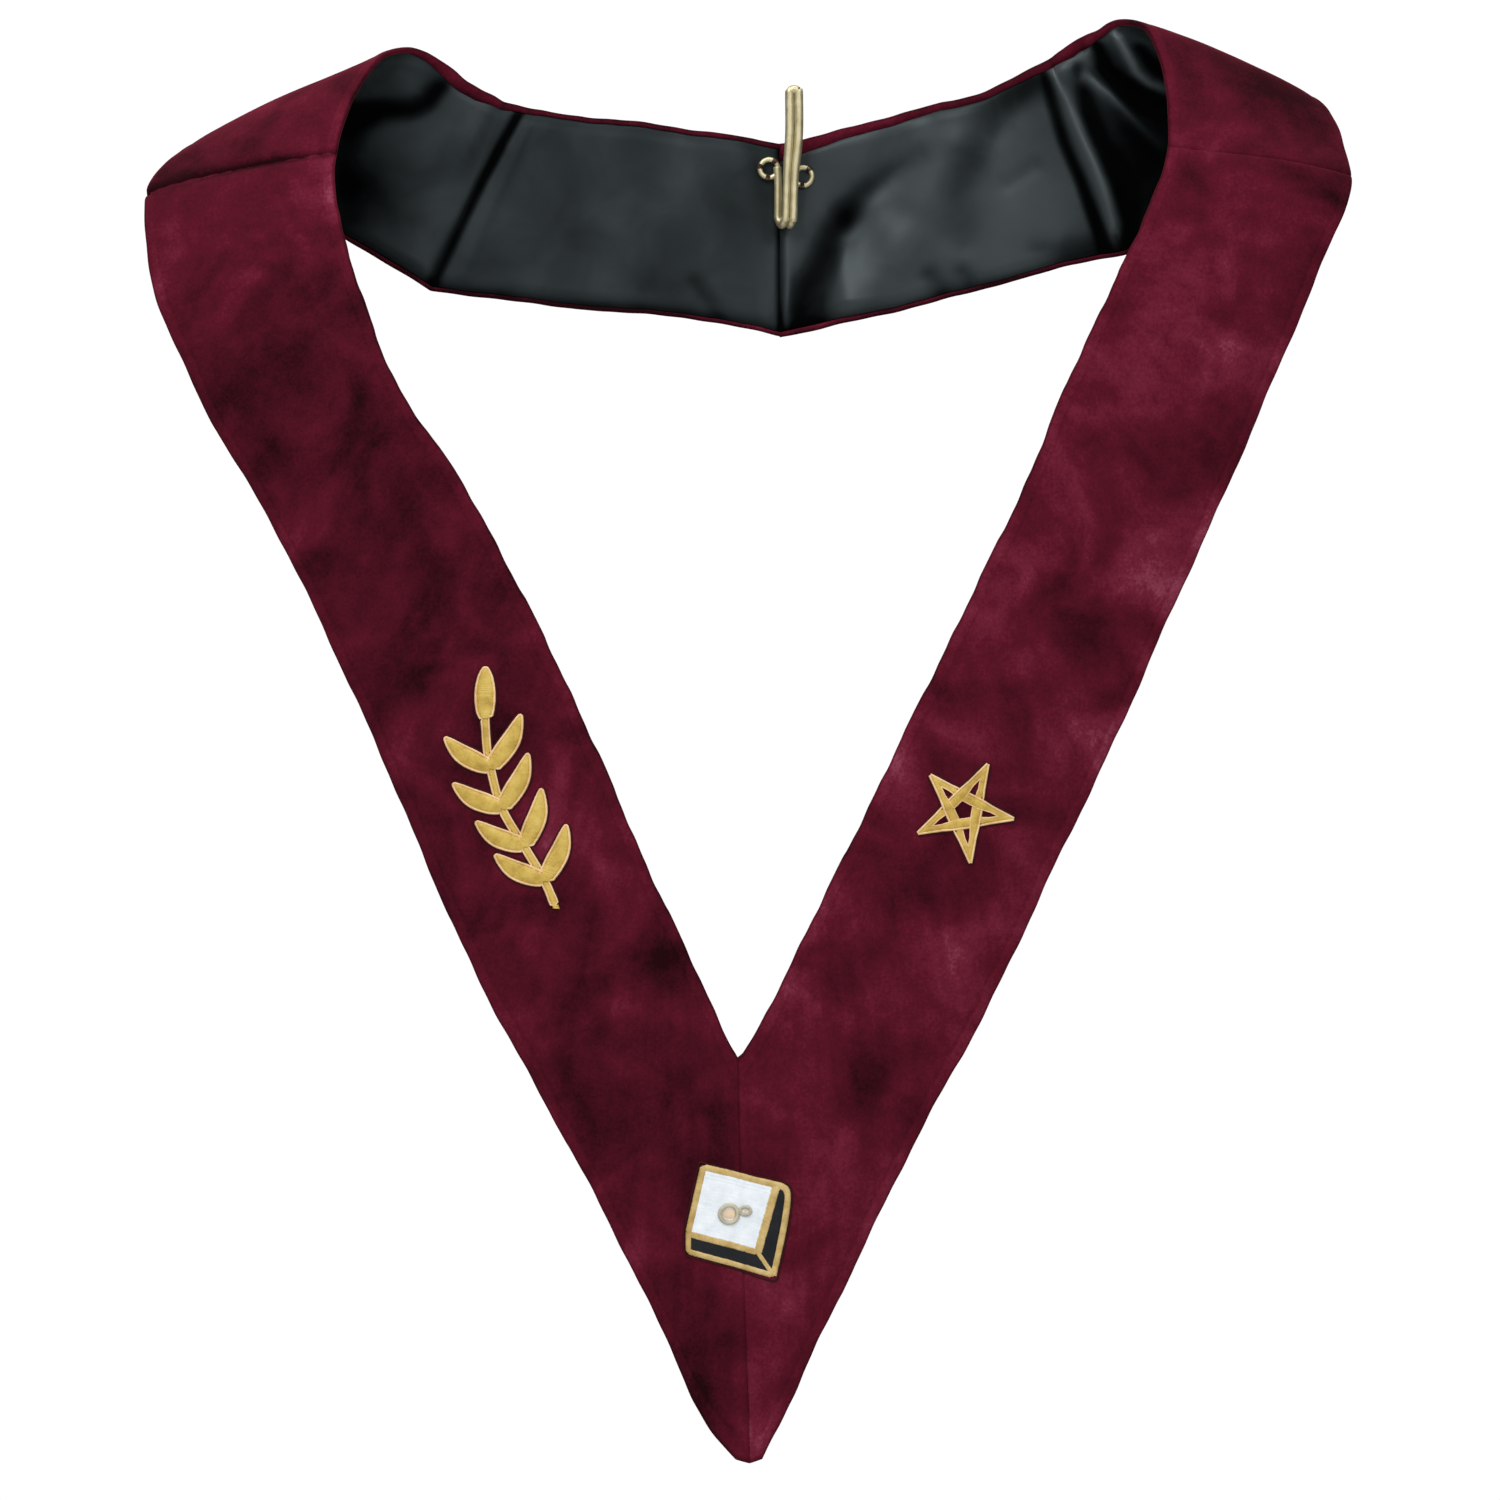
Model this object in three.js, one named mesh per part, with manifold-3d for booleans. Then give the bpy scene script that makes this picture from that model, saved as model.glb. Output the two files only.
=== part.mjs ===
// A worn V collar: velvet outside, satin lining inside, raised embroidery on the bands and a wire hook at the centre back.
// Millimetres, +Z up, +X to the right as seen from the front, the front of the collar faces -Y.
// The origin is on the lining at the centre back of the neck, half way up the band.
import * as THREE from "three";
import { mergeVertices } from "three/addons/utils/BufferGeometryUtils.js";
import Module from "manifold-3d";

const wasm = await Module();
wasm.setup();

// Driving dimensions
const BAND_WIDTH = 100; // nominal width of the finished band, 4 inches
const VELVET = 1.8; // velvet with its stiffening
const LINING = 1.15; // satin with its backing
const HALF_GAP = 0.15; // half of the gap between two faces that touch
const TURN_IN = 0.02; // share of the width by which the lining stays inside each turned velvet edge
const EMBROIDERY = 1.3; // height of the raised embroidery
const EMBROIDERY_GAP = 0.4; // embroidery above the smooth velvet face
const FRONT_ROWS = 20;
const SHOULDER_ROWS = 14;
const BACK_ROWS = 14;
const WIRE = 4.2; // wire of the neck hook

// Each half of the band, from the point of the V to the centre back. A row is one section across the band:
// `in` is the edge at the neck, `out` the other edge, and `bow` is how far the middle of the section stands proud.
const LEFT = [
  { name: "point", in: [-22, -112, -423], out: [-16, -108, -629], bow: 0 },
  { name: "point_corner", in: [-23, -112, -420.5], out: [-23, -108, -627], bow: 0 },
  { name: "point_side", in: [-25.5, -112, -415.5], out: [-30, -108, -620], bow: 1 },
  { name: "front_1", in: [-45, -112, -374], out: [-57, -107, -569], bow: 2 },
  { name: "front_2", in: [-71, -113, -318], out: [-98.5, -106, -485.5], bow: 3 },
  { name: "front_3", in: [-97, -114, -257.5], out: [-146, -105, -399.5], bow: 4 },
  { name: "front_4", in: [-126, -114, -197], out: [-183, -103, -318.5], bow: 4 },
  { name: "front_5", in: [-158.5, -112, -136], out: [-218, -99, -237], bow: 4 },
  { name: "front_6", in: [-195, -108, -80], out: [-258, -92, -155.5], bow: 4 },
  { name: "front_7", in: [-213, -101, -34], out: [-299, -82, -83.5], bow: 4 },
  { name: "front_8", in: [-223.5, -91, 2.5], out: [-323, -69, -27.5], bow: 4 },
  { name: "shoulder_seam", in: [-227, -79, 37.5], out: [-327, -54, 18.5], bow: 4 },
  { name: "rise_1", in: [-222, -71, 56.5], out: [-324, -46, 27.5], bow: 4 },
  { name: "rise_2", in: [-214.5, -60, 75.5], out: [-315.5, -37, 37.5], bow: 4 },
  { name: "ridge", in: [-204, -46, 91], out: [-301.5, -28, 44.5], bow: 3.5 },
  { name: "fall_1", in: [-191, -35, 96.5], out: [-281, -22, 37], bow: 3 },
  { name: "fall_2", in: [-174.5, -28, 89.5], out: [-254.5, -20, 17], bow: 2 },
  { name: "fall_3", in: [-158.5, -24, 78.5], out: [-218, -20, -7], bow: 1 },
  { name: "neck_seam", in: [-143.5, -21, 71], out: [-182.5, -19, -28.5], bow: 0 },
  { name: "back_1", in: [-115, -13, 65], out: [-138.5, -13, -34], bow: 1 },
  { name: "back_2", in: [-78.5, -6, 62.5], out: [-91.5, -6, -38], bow: 1 },
  { name: "back_3", in: [-39.5, -1, 57.5], out: [-46, -1, -42], bow: 1 },
  { name: "centre_back", in: [0, 1.3, 51], out: [0, 1.3, -51], bow: 0 },
];
const RIGHT = [
  { name: "point", in: [-22, -112, -423], out: [-16, -108, -629], bow: 0 },
  { name: "point_corner", in: [-19.5, -112, -420.5], out: [-9.5, -108, -627], bow: 0 },
  { name: "point_side", in: [-16, -112, -415.5], out: [-3.5, -108, -615.5], bow: 1 },
  { name: "front_1", in: [5, -112, -374], out: [18.5, -107, -569], bow: 2 },
  { name: "front_2", in: [33, -113, -318], out: [58.5, -106, -485.5], bow: 3 },
  { name: "front_3", in: [62.5, -114, -257.5], out: [104, -105, -399.5], bow: 4 },
  { name: "front_4", in: [92, -114, -197], out: [143, -103, -318.5], bow: 4 },
  { name: "front_5", in: [121.5, -112, -136], out: [181, -99, -237], bow: 4 },
  { name: "front_6", in: [145, -108, -80], out: [217.5, -92, -155.5], bow: 4 },
  { name: "front_7", in: [166.5, -101, -34], out: [247.5, -82, -89], bow: 4 },
  { name: "front_8", in: [183.5, -91, 1.5], out: [277.5, -68, -18.5], bow: 4 },
  { name: "shoulder_seam", in: [197, -78, 40.5], out: [294.5, -54, 27.5], bow: 5 },
  { name: "rise_1", in: [198.5, -70, 59.5], out: [292.5, -46, 40], bow: 4.5 },
  { name: "rise_2", in: [196, -59, 82.5], out: [287.5, -38, 56.5], bow: 4.5 },
  { name: "ridge", in: [186.5, -45, 106], out: [277.5, -28, 68], bow: 4 },
  { name: "fall_1", in: [174.5, -34, 110.5], out: [263, -22, 63], bow: 3 },
  { name: "fall_2", in: [162.5, -28, 106.3], out: [239.5, -20, 40], bow: 2 },
  { name: "fall_3", in: [151.5, -25, 100.3], out: [211.5, -20, 13.5], bow: 1 },
  { name: "neck_seam", in: [140.5, -23, 93.3], out: [181.5, -20, -9.5], bow: 0 },
  { name: "back_1", in: [108.5, -15, 77.8], out: [141, -15, -17.5], bow: 1 },
  { name: "back_2", in: [76, -8, 69.5], out: [97, -8, -29.5], bow: 1 },
  { name: "back_3", in: [36.5, -2, 59.5], out: [50, -2, -41], bow: 1 },
  { name: "centre_back", in: [0, 1.3, 51], out: [0, 1.3, -51], bow: 0 },
];
const CREASES = ["point_corner", "neck_seam"]; // sections where the band has a kink

// Soft folds: from one point of the band to another, each as [section, share of the width], with the half width and
// the height in mm. A fold of positive height stands out of the velvet side, one of negative height into the neck.
const FOLDS = [
  { name: "diagonal at the centre back", side: "right", from: [21.9, 0.97], to: [20.1, 0.05], width: 15, height: 4 },
  { name: "ridge beside it", side: "right", from: [21.2, 0.95], to: [19.6, 0.3], width: 13, height: -3 },
  { name: "right neck, upper", side: "right", from: [17.9, 0.05], to: [17.2, 0.95], width: 12, height: -3.5 },
  { name: "right neck, dark hollow", side: "right", from: [16.9, 0.05], to: [16.6, 0.9], width: 12, height: 3.5 },
  { name: "left neck, lower", side: "left", from: [17.4, 0.3], to: [16.8, 0.95], width: 13, height: -2.5 },
  { name: "left back", side: "left", from: [19.2, 0.1], to: [19.8, 0.8], width: 16, height: 1.5 },
];

const add = (a, b, k = 1) => [a[0] + k * b[0], a[1] + k * b[1], a[2] + k * b[2]];
const sub = (a, b) => add(a, b, -1);
const cross = (a, b) => [a[1] * b[2] - a[2] * b[1], a[2] * b[0] - a[0] * b[2], a[0] * b[1] - a[1] * b[0]];
const length = (a) => Math.hypot(a[0], a[1], a[2]);
const unit = (a) => a.map((v) => v / length(a));

// One half of the band as a smooth surface over s, the distance along the band, and u, the share of its width.
class Half {
  constructor(rows, sign) {
    this.rows = rows;
    this.sign = sign;
    this.s = [0];
    for (let i = 1; i < rows.length; i++)
      this.s.push(
        this.s[i - 1] + (length(sub(rows[i].in, rows[i - 1].in)) + length(sub(rows[i].out, rows[i - 1].out))) / 2,
      );
    this.end = this.s[rows.length - 1];
    this.values = rows.map((r) => [...r.in, ...r.out, r.bow]);
    const slope = (i) => this.values[i].map((v, k) => (this.values[i + 1][k] - v) / (this.s[i + 1] - this.s[i]));
    // The slopes before and after each section; they differ only at a crease and at the two ends.
    this.slopes = rows.map((r, i) => {
      if (i === 0) return [slope(0), slope(0)];
      if (i === rows.length - 1) return [slope(i - 1), slope(i - 1)];
      const before = slope(i - 1), after = slope(i);
      if (CREASES.includes(r.name)) return [before, after];
      const h0 = this.s[i] - this.s[i - 1], h1 = this.s[i + 1] - this.s[i];
      const mid = before.map((v, k) => (h1 * v + h0 * after[k]) / (h0 + h1));
      return [mid, mid];
    });
    this.folds = [];
  }
  at(index) {
    const i = Math.min(Math.floor(index), this.rows.length - 2);
    return this.s[i] + (index - i) * (this.s[i + 1] - this.s[i]);
  }
  section(name) {
    return this.s[this.rows.findIndex((r) => r.name === name)];
  }
  // The section at s: both edges and the bow.
  cut(s) {
    let i = 0;
    while (i < this.rows.length - 2 && s > this.s[i + 1]) i++;
    const h = this.s[i + 1] - this.s[i], t = (s - this.s[i]) / h, t2 = t * t, t3 = t2 * t;
    return this.values[i].map(
      (v, k) =>
        v * (2 * t3 - 3 * t2 + 1) + this.values[i + 1][k] * (3 * t2 - 2 * t3) +
        h * (this.slopes[i][1][k] * (t3 - 2 * t2 + t) + this.slopes[i + 1][0][k] * (t3 - t2)),
    );
  }
  flat(s, u) {
    const c = this.cut(s);
    return [0, 1, 2].map((k) => c[k] + u * (c[k + 3] - c[k]));
  }
  // The band's own surface, past either end too, where the other half carries on.
  point(s, u) {
    if (s < 0) return this.other.point(-s, u);
    if (s > this.end) return this.other.point(this.other.end - (s - this.end), u);
    const bow = this.cut(s)[6] * 4 * u * (1 - u) + this.fold(s, u);
    return add(this.flat(s, u), this.facing((a, b) => this.flat(a, b), s, u, 0), bow);
  }
  fold(s, u) {
    let sum = 0;
    for (const f of this.folds) {
      const a = [this.at(f.from[0]), f.from[1] * BAND_WIDTH], b = [this.at(f.to[0]), f.to[1] * BAND_WIDTH];
      const d = [b[0] - a[0], b[1] - a[1]], p = [s - a[0], u * BAND_WIDTH - a[1]];
      const k = (p[0] * d[0] + p[1] * d[1]) / (d[0] * d[0] + d[1] * d[1]), c = Math.min(1, Math.max(0, k));
      const off = Math.hypot(p[0] - c * d[0], p[1] - c * d[1]) / f.width;
      sum += f.height * Math.exp(-off * off);
    }
    // The folds die out towards the seams, where the band is held.
    const end = Math.min(1, (this.end - s) / 12, Math.abs(s - this.section("neck_seam")) / 12);
    return sum * Math.max(0, end);
  }
  facing(f, s, u, step) {
    const h = step || 0.5, lo = step ? s - h : Math.max(0, s - h), hi = step ? s + h : Math.min(this.end, s + h);
    const u0 = Math.max(0, u - 0.02), u1 = Math.min(1, u + 0.02);
    const ds = sub(f(hi, u), f(lo, u)), du = sub(f(s, u1), f(s, u0));
    return unit(cross(ds, du)).map((v) => v * this.sign);
  }
  // A point at distance d from the surface, towards the velvet side.
  off(s, u, d) {
    return add(this.point(s, u), this.facing((a, b) => this.point(a, b), s, u, 3), d);
  }
  // The place on the front of the band that is seen at x, z.
  find(x, z) {
    let s = this.section("front_3"), u = 0.5;
    for (let k = 0; k < 25; k++) {
      const p = this.point(s, u), a = sub(this.point(s + 0.5, u), p), b = sub(this.point(s, u + 0.01), p);
      const ex = x - p[0], ez = z - p[2], det = (a[0] * b[2] - a[2] * b[0]) / 0.005;
      s += ((ex * b[2] - ez * b[0]) / 0.01) / det;
      u += ((ez * a[0] - ex * a[2]) / 0.5) / det;
    }
    return [s, u];
  }
}
const left = new Half(LEFT, 1), right = new Half(RIGHT, -1);
left.other = right;
right.other = left;
for (const f of FOLDS) (f.side === "left" ? left : right).folds.push(f);

// A closed solid between two grids of points; top is the outer face when the grids turn left.
function slab(top, bottom) {
  const m = top.length, n = top[0].length, points = [...top.flat(), ...bottom.flat()], faces = [];
  const t = (i, j) => i * n + j, b = (i, j) => m * n + i * n + j;
  for (let i = 0; i + 1 < m; i++)
    for (let j = 0; j + 1 < n; j++) {
      faces.push(t(i, j), t(i + 1, j), t(i + 1, j + 1), t(i, j), t(i + 1, j + 1), t(i, j + 1));
      faces.push(b(i, j), b(i + 1, j + 1), b(i + 1, j), b(i, j), b(i, j + 1), b(i + 1, j + 1));
    }
  const rim = [];
  for (let i = 0; i < m; i++) rim.push([i, 0]);
  for (let j = 1; j < n; j++) rim.push([m - 1, j]);
  for (let i = m - 2; i >= 0; i--) rim.push([i, n - 1]);
  for (let j = n - 2; j > 0; j--) rim.push([0, j]);
  rim.forEach(([i, j], k) => {
    const [p, q] = rim[(k + 1) % rim.length];
    faces.push(t(i, j), b(i, j), b(p, q), t(i, j), b(p, q), t(p, q));
  });
  const g = new THREE.BufferGeometry();
  g.setAttribute("position", new THREE.Float32BufferAttribute(points.flat(), 3));
  g.setIndex(faces);
  return g;
}
function solid(g) {
  const clean = g.clone();
  clean.deleteAttribute("normal");
  clean.deleteAttribute("uv");
  const m = mergeVertices(clean, 1e-4), triVerts = new Uint32Array(m.index.array);
  const build = () => new wasm.Manifold(new wasm.Mesh({ numProp: 3, vertProperties: new Float32Array(m.attributes.position.array), triVerts }));
  const made = build();
  if (made.volume() > 0) return made;
  // the faces point inwards, so each is turned round
  for (let i = 0; i < triVerts.length; i += 3) [triVerts[i + 1], triVerts[i + 2]] = [triVerts[i + 2], triVerts[i + 1]];
  return build();
}
function geometry(s) {
  const m = s.getMesh(), g = new THREE.BufferGeometry();
  g.setAttribute("position", new THREE.BufferAttribute(new Float32Array(m.vertProperties), 3));
  g.setIndex(new THREE.BufferAttribute(new Uint32Array(m.triVerts), 1));
  return g;
}
const join = (list) => list.map(solid).reduce((a, b) => a.add(b));

// One panel of cloth between two sections, from near to far off the band's surface.
const SHARES = [0, TURN_IN, 1 / 6, 2 / 6, 3 / 6, 4 / 6, 5 / 6, 1 - TURN_IN, 1];
function panel(half, from, to, rows, near, far, shares) {
  const a = half.section(from) + HALF_GAP, b = half.section(to) - HALF_GAP;
  // the blunt corner of the point has sections of its own
  const early = from === "point" ? [a, half.section("point_corner")] : [], c = from === "point" ? half.section("point_side") : a;
  const sections = [...early, ...Array.from({ length: rows + 1 }, (_, i) => c + ((b - c) * i) / rows)];
  const grid = (d) => sections.map((s) => shares.map((u) => half.off(s, u, d)));
  const high = grid(Math.max(near, far)), low = grid(Math.min(near, far));
  return half.sign > 0 ? slab(high, low) : slab(low, high);
}

const cloth = (colour, roughness) => new THREE.MeshStandardMaterial({ color: colour, roughness, metalness: 0 });
const VELVET_COLOUR = 0x571226, SATIN_COLOUR = 0x1c2022, GOLD_THREAD = 0xc79a4a, WHITE_THREAD = 0xe2e6e8, BLACK_THREAD = 0x1c1f24;

const group = new THREE.Group();
group.name = "v_collar";
function put(name, g, material) {
  const mesh = new THREE.Mesh(g, material);
  mesh.name = name;
  g.computeVertexNormals();
  group.add(mesh);
  return mesh;
}
for (const [side, half] of [["left", left], ["right", right]])
  for (const [part, from, to, rows] of [
    ["front", "point", "shoulder_seam", FRONT_ROWS],
    ["shoulder", "shoulder_seam", "neck_seam", SHOULDER_ROWS],
    ["back", "neck_seam", "centre_back", BACK_ROWS],
  ]) {
    put(`velvet_${part}_${side}`, panel(half, from, to, rows, HALF_GAP, HALF_GAP + VELVET, SHARES), cloth(VELVET_COLOUR, 0.9));
    put(`lining_${part}_${side}`, panel(half, from, to, rows, -HALF_GAP, -HALF_GAP - LINING, SHARES.slice(1, -1)), cloth(SATIN_COLOUR, 0.35));
  }

// Embroidery: flat solids in x and z with their height along y, laid on the velvet afterwards.
const raised = (x, z, top) => [x, -top, z];
function strip(sections) {
  // sections: [x, z, half width, direction x, direction z], each across the run of the strip
  const grid = (top) => sections.map(([x, z, w, dx, dz]) => [-1, 0, 1].map((k) => raised(x - dz * w * k, z + dx * w * k, top)));
  return slab(grid(EMBROIDERY), grid(0));
}
function bar(a, b, w, steps = 5) {
  const d = [b[0] - a[0], b[1] - a[1]], l = Math.hypot(...d), e = [d[0] / l, d[1] / l];
  return strip(Array.from({ length: steps + 1 }, (_, i) => [a[0] + (d[0] * i) / steps, a[1] + (d[1] * i) / steps, w / 2, ...e]));
}
// Half widths of a leaf along it, as shares of its width: broad where it leaves the stem, widest before the middle, pointed at the tip.
const LEAF_OUTLINE = [[0, 0.27], [0.15, 0.41], [0.4, 0.5], [0.6, 0.45], [0.78, 0.3], [0.9, 0.17], [1, 0.04]];
function leaf(from, to, width, lean) {
  const d = [to[0] - from[0], to[1] - from[1]], l = Math.hypot(...d), e = [d[0] / l, d[1] / l];
  return strip(
    LEAF_OUTLINE.map(([k, share]) => {
      const c = lean * Math.sin(Math.PI * k);
      return [from[0] + d[0] * k - e[1] * c, from[1] + d[1] * k + e[0] * c, width * share, ...e];
    }),
  );
}
function path(points, w, steps) {
  const curve = new THREE.CatmullRomCurve3(points.map(([x, z]) => new THREE.Vector3(x, 0, z)));
  return strip(
    Array.from({ length: steps + 1 }, (_, i) => {
      const p = curve.getPoint(i / steps), t = curve.getTangent(i / steps);
      return [p.x, p.z, w / 2, t.x, t.z];
    }),
  );
}
// Halves every edge longer than `most`, on both of its faces alike, until none is left.
function divided(g, most) {
  let points = Array.from(g.attributes.position.array), faces = Array.from(g.index.array), again = true;
  while (again) {
    again = false;
    const middle = new Map(), next = [];
    const halfway = (a, b) => {
      const key = a < b ? `${a}_${b}` : `${b}_${a}`;
      if (middle.has(key)) return middle.get(key);
      const p = [0, 1, 2].map((k) => [points[3 * a + k], points[3 * b + k]]);
      const long = Math.hypot(...p.map(([m, n]) => m - n)) > most;
      const made = long ? points.push(...p.map(([m, n]) => (m + n) / 2)) / 3 - 1 : -1;
      middle.set(key, made);
      return made;
    };
    for (let i = 0; i < faces.length; i += 3) {
      let v = faces.slice(i, i + 3), m = v.map((a, k) => halfway(a, v[(k + 1) % 3]));
      const count = m.filter((k) => k >= 0).length;
      again = again || count > 0;
      while (count && count < 3 && !(m[0] >= 0 && (count === 1 || m[1] >= 0))) {
        v = [v[1], v[2], v[0]];
        m = [m[1], m[2], m[0]];
      }
      if (count === 0) next.push(...v);
      if (count === 1) next.push(v[0], m[0], v[2], m[0], v[1], v[2]);
      if (count === 2) next.push(v[0], m[0], v[2], m[0], m[1], v[2], m[0], v[1], m[1]);
      if (count === 3) next.push(v[0], m[0], m[2], m[0], v[1], m[1], m[2], m[1], v[2], m[0], m[1], m[2]);
    }
    faces = next;
  }
  const made = new THREE.BufferGeometry();
  made.setAttribute("position", new THREE.Float32BufferAttribute(points, 3));
  made.setIndex(faces);
  return made;
}
// Lays a flat piece of embroidery on the velvet. Across the centre-front seam each point follows its own half.
function laid(made, lift = 0) {
  const g = divided(geometry(made), 13), p = g.attributes.position, base = HALF_GAP + VELVET + EMBROIDERY_GAP + lift;
  for (let i = 0; i < p.count; i++) {
    const [x, y, z] = [p.getX(i), p.getY(i), p.getZ(i)], seam = -22 + ((z + 423) / -206) * 6, half = x < seam ? left : right;
    const [s, u] = half.find(x, z), q = half.off(s, u, base - y);
    p.setXYZ(i, ...q);
  }
  return g;
}
const gold = () => new THREE.MeshStandardMaterial({ color: GOLD_THREAD, roughness: 0.5, metalness: 0.3 });

// The sprig: a stem, four pairs of leaves and a bud.
const STEM = [[-149.5, -247], [-148.5, -265], [-146.5, -276.7], [-140.9, -297], [-129.7, -316.3], [-119.6, -333.5], [-113.5, -347.7]];
const LEAF_PAIRS = [
  { join: [-146.5, -276.7], left: [-169.8, -261], right: [-131.3, -249.4] },
  { join: [-140.9, -297], left: [-165.7, -284.3], right: [-127.7, -269.1] },
  { join: [-129.7, -316.3], left: [-154.1, -303.6], right: [-121.1, -286.9] },
  { join: [-119.6, -333.5], left: [-144.4, -320.3], right: [-108.5, -305.1] },
];
const LEAF_WIDTH = 10.2, STEM_WIDTH = 4;
// The bud has a broad, nearly straight foot: heights above it and half widths.
const BUD = { x: -149.3, foot: -251.5, outline: [[0, 3.4], [3, 4.5], [8, 5.1], [14, 5], [19, 4.1], [23, 2.8], [26, 1.2]] };
const sprig = join([
  path(STEM, STEM_WIDTH, 16),
  strip(BUD.outline.map(([height, w]) => [BUD.x, BUD.foot + height, w, 0, 1])),
  ...LEAF_PAIRS.flatMap((r) => [leaf(r.join, r.left, LEAF_WIDTH, 1.8), leaf(r.join, r.right, LEAF_WIDTH, -1.8)]),
]);
put("sprig_embroidery", laid(sprig), gold());

// The star: five bars from point to point. The outer edge of each bar runs from tip to tip, and the bar narrows to nothing at both.
const STAR_TIPS = { top: [104.3, -274.3], left: [75, -280], foot: [68.6, -309.8], bottom: [95.4, -325], right: [117.6, -302.4] };
const STAR_BAR = 4.1, TIP_TAPER = Math.tan(Math.PI / 5);
const tips = Object.values(STAR_TIPS), starCentre = [0, 1].map((k) => tips.reduce((sum, tip) => sum + tip[k] / 5, 0));
function starBar(a, b) {
  const d = [b[0] - a[0], b[1] - a[1]], l = Math.hypot(...d), e = [d[0] / l, d[1] / l], full = STAR_BAR / TIP_TAPER;
  const inward = (starCentre[0] - a[0]) * -e[1] + (starCentre[1] - a[1]) * e[0] > 0 ? 1 : -1;
  return strip(
    [0.5, full, l / 3, l / 2, (2 * l) / 3, l - full, l - 0.5].map((t) => {
      const w = Math.min(STAR_BAR, Math.min(t, l - t) * TIP_TAPER) / 2;
      return [a[0] + e[0] * t - e[1] * inward * w, a[1] + e[1] * t + e[0] * inward * w, w, ...e];
    }),
  );
}
put("star_embroidery", laid(join(tips.map((tip, k) => starBar(tip, tips[(k + 2) % 5])))), gold());

// The squared stone at the point: corners of its upper face and of the two sides that show.
const FACE = { a: [-39, -478.5], b: [-2.5, -487.5], c: [-11.5, -521.5], d: [-46.5, -512] };
const FOOT = { b: [2.8, -491.6], c: [-4, -533], d: [-46.5, -521] };
const between = (p, q, k) => [p[0] + (q[0] - p[0]) * k, p[1] + (q[1] - p[1]) * k];
function patch(p, q, r, t, inset, steps = 4) {
  // a four-cornered patch p, q, r, t in turn, drawn in from its border
  const c = [0, 1].map((k) => (p[k] + q[k] + r[k] + t[k]) / 4);
  const corner = [p, q, r, t].map((v) => {
    const d = [v[0] - c[0], v[1] - c[1]], l = Math.hypot(...d);
    return [v[0] - (d[0] / l) * inset, v[1] - (d[1] / l) * inset];
  });
  const grid = (top) =>
    Array.from({ length: steps + 1 }, (_, i) =>
      Array.from({ length: steps + 1 }, (_, j) => raised(...between(between(corner[0], corner[1], i / steps), between(corner[3], corner[2], i / steps), j / steps), top)),
    );
  return slab(grid(EMBROIDERY), grid(0));
}
const STONE_LINES = [
  { from: FACE.a, to: FACE.b, width: 4 }, { from: FACE.b, to: FACE.c, width: 5.4 }, { from: FACE.c, to: FACE.d, width: 4.6 }, { from: FACE.d, to: FACE.a, width: 3.8 },
  { from: FACE.b, to: FOOT.b, width: 3.4 }, { from: FOOT.b, to: FOOT.c, width: 3.6 }, { from: FOOT.c, to: FOOT.d, width: 3.4 }, { from: FOOT.d, to: FACE.d, width: 3.2 },
  { from: FACE.c, to: FOOT.c, width: 3.4 },
];
const outline = join(STONE_LINES.map((r) => bar(r.from, r.to, r.width, 5)));
const cutter = (() => {
  // the same lines a little wider and taller, so that the fields keep a gap to them
  const made = join(STONE_LINES.map((r) => bar(r.from, r.to, r.width + 0.7, 5)));
  return made.scale([1, 3, 1]).translate([0, 1, 0]);
})();
const field = (p, q, r, t) => {
  const pieces = solid(patch(p, q, r, t, 0)).subtract(cutter).decompose();
  return pieces.sort((a, b) => b.volume() - a.volume())[0];
};
put("stone_outline", laid(outline), gold());
put("stone_face", laid(field(FACE.a, FACE.b, FACE.c, FACE.d)), cloth(WHITE_THREAD, 0.6));
put("stone_side_lower", laid(field(FACE.d, FACE.c, FOOT.c, FOOT.d)), cloth(BLACK_THREAD, 0.7));
put("stone_side_right", laid(field(FACE.b, FOOT.b, FOOT.c, FACE.c)), cloth(BLACK_THREAD, 0.7));

// The ring on the stone, with the small link that holds it: two closed loops of cord.
const RING = { at: [-26.6, -502.1], across: 4.6, tall: 4.4, width: 2.3 }, LINK = { at: [-18, -500.5], across: 2.9, tall: 2, width: 1.6 };
function loop({ at, across, tall, width }) {
  const arc = (from) => path(Array.from({ length: 7 }, (_, i) => {
    const a = from + (i / 6) * (Math.PI + 0.3);
    return [at[0] + across * Math.cos(a), at[1] + tall * Math.sin(a)];
  }), width, 12);
  return join([arc(0), arc(Math.PI)]);
}
const ringPiece = loop(RING).add(loop(LINK));
put("stone_ring", laid(ringPiece, EMBROIDERY + 0.35), gold());

// The neck hook: one wire, doubled. From its sewn eyelets it runs down the lining, turns up at the bottom and stands
// over the neck edge as a long hairpin.
const HOOK = { top: 80, bottom: 7.2, middle: 7.3, low: 5, rear: 1, pitchTop: 4.7, pitchLow: 4.1, back: -2.9, front: -11.7 };
const EYES = [{ x: -5.8, z: 37.2, lead: [[-1.4, 38], [-1, 30]] }, { x: 12.1, z: 33, lead: [[6.9, 34.5], [5.4, 28], [3.5, 21.5]] }];
const EYE_RADIUS = 4.7, EYE_WIRE = 1.35;
function wireShape(r, sides = 8) {
  const s = new THREE.Shape();
  for (let i = 0; i < sides; i++) {
    const a = (2 * Math.PI * (i + 0.5)) / sides;
    i ? s.lineTo(r * Math.cos(a), r * Math.sin(a)) : s.moveTo(r * Math.cos(a), r * Math.sin(a));
  }
  s.closePath();
  return s;
}
const V = (x, y, z) => new THREE.Vector3(x, y, z);
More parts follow.
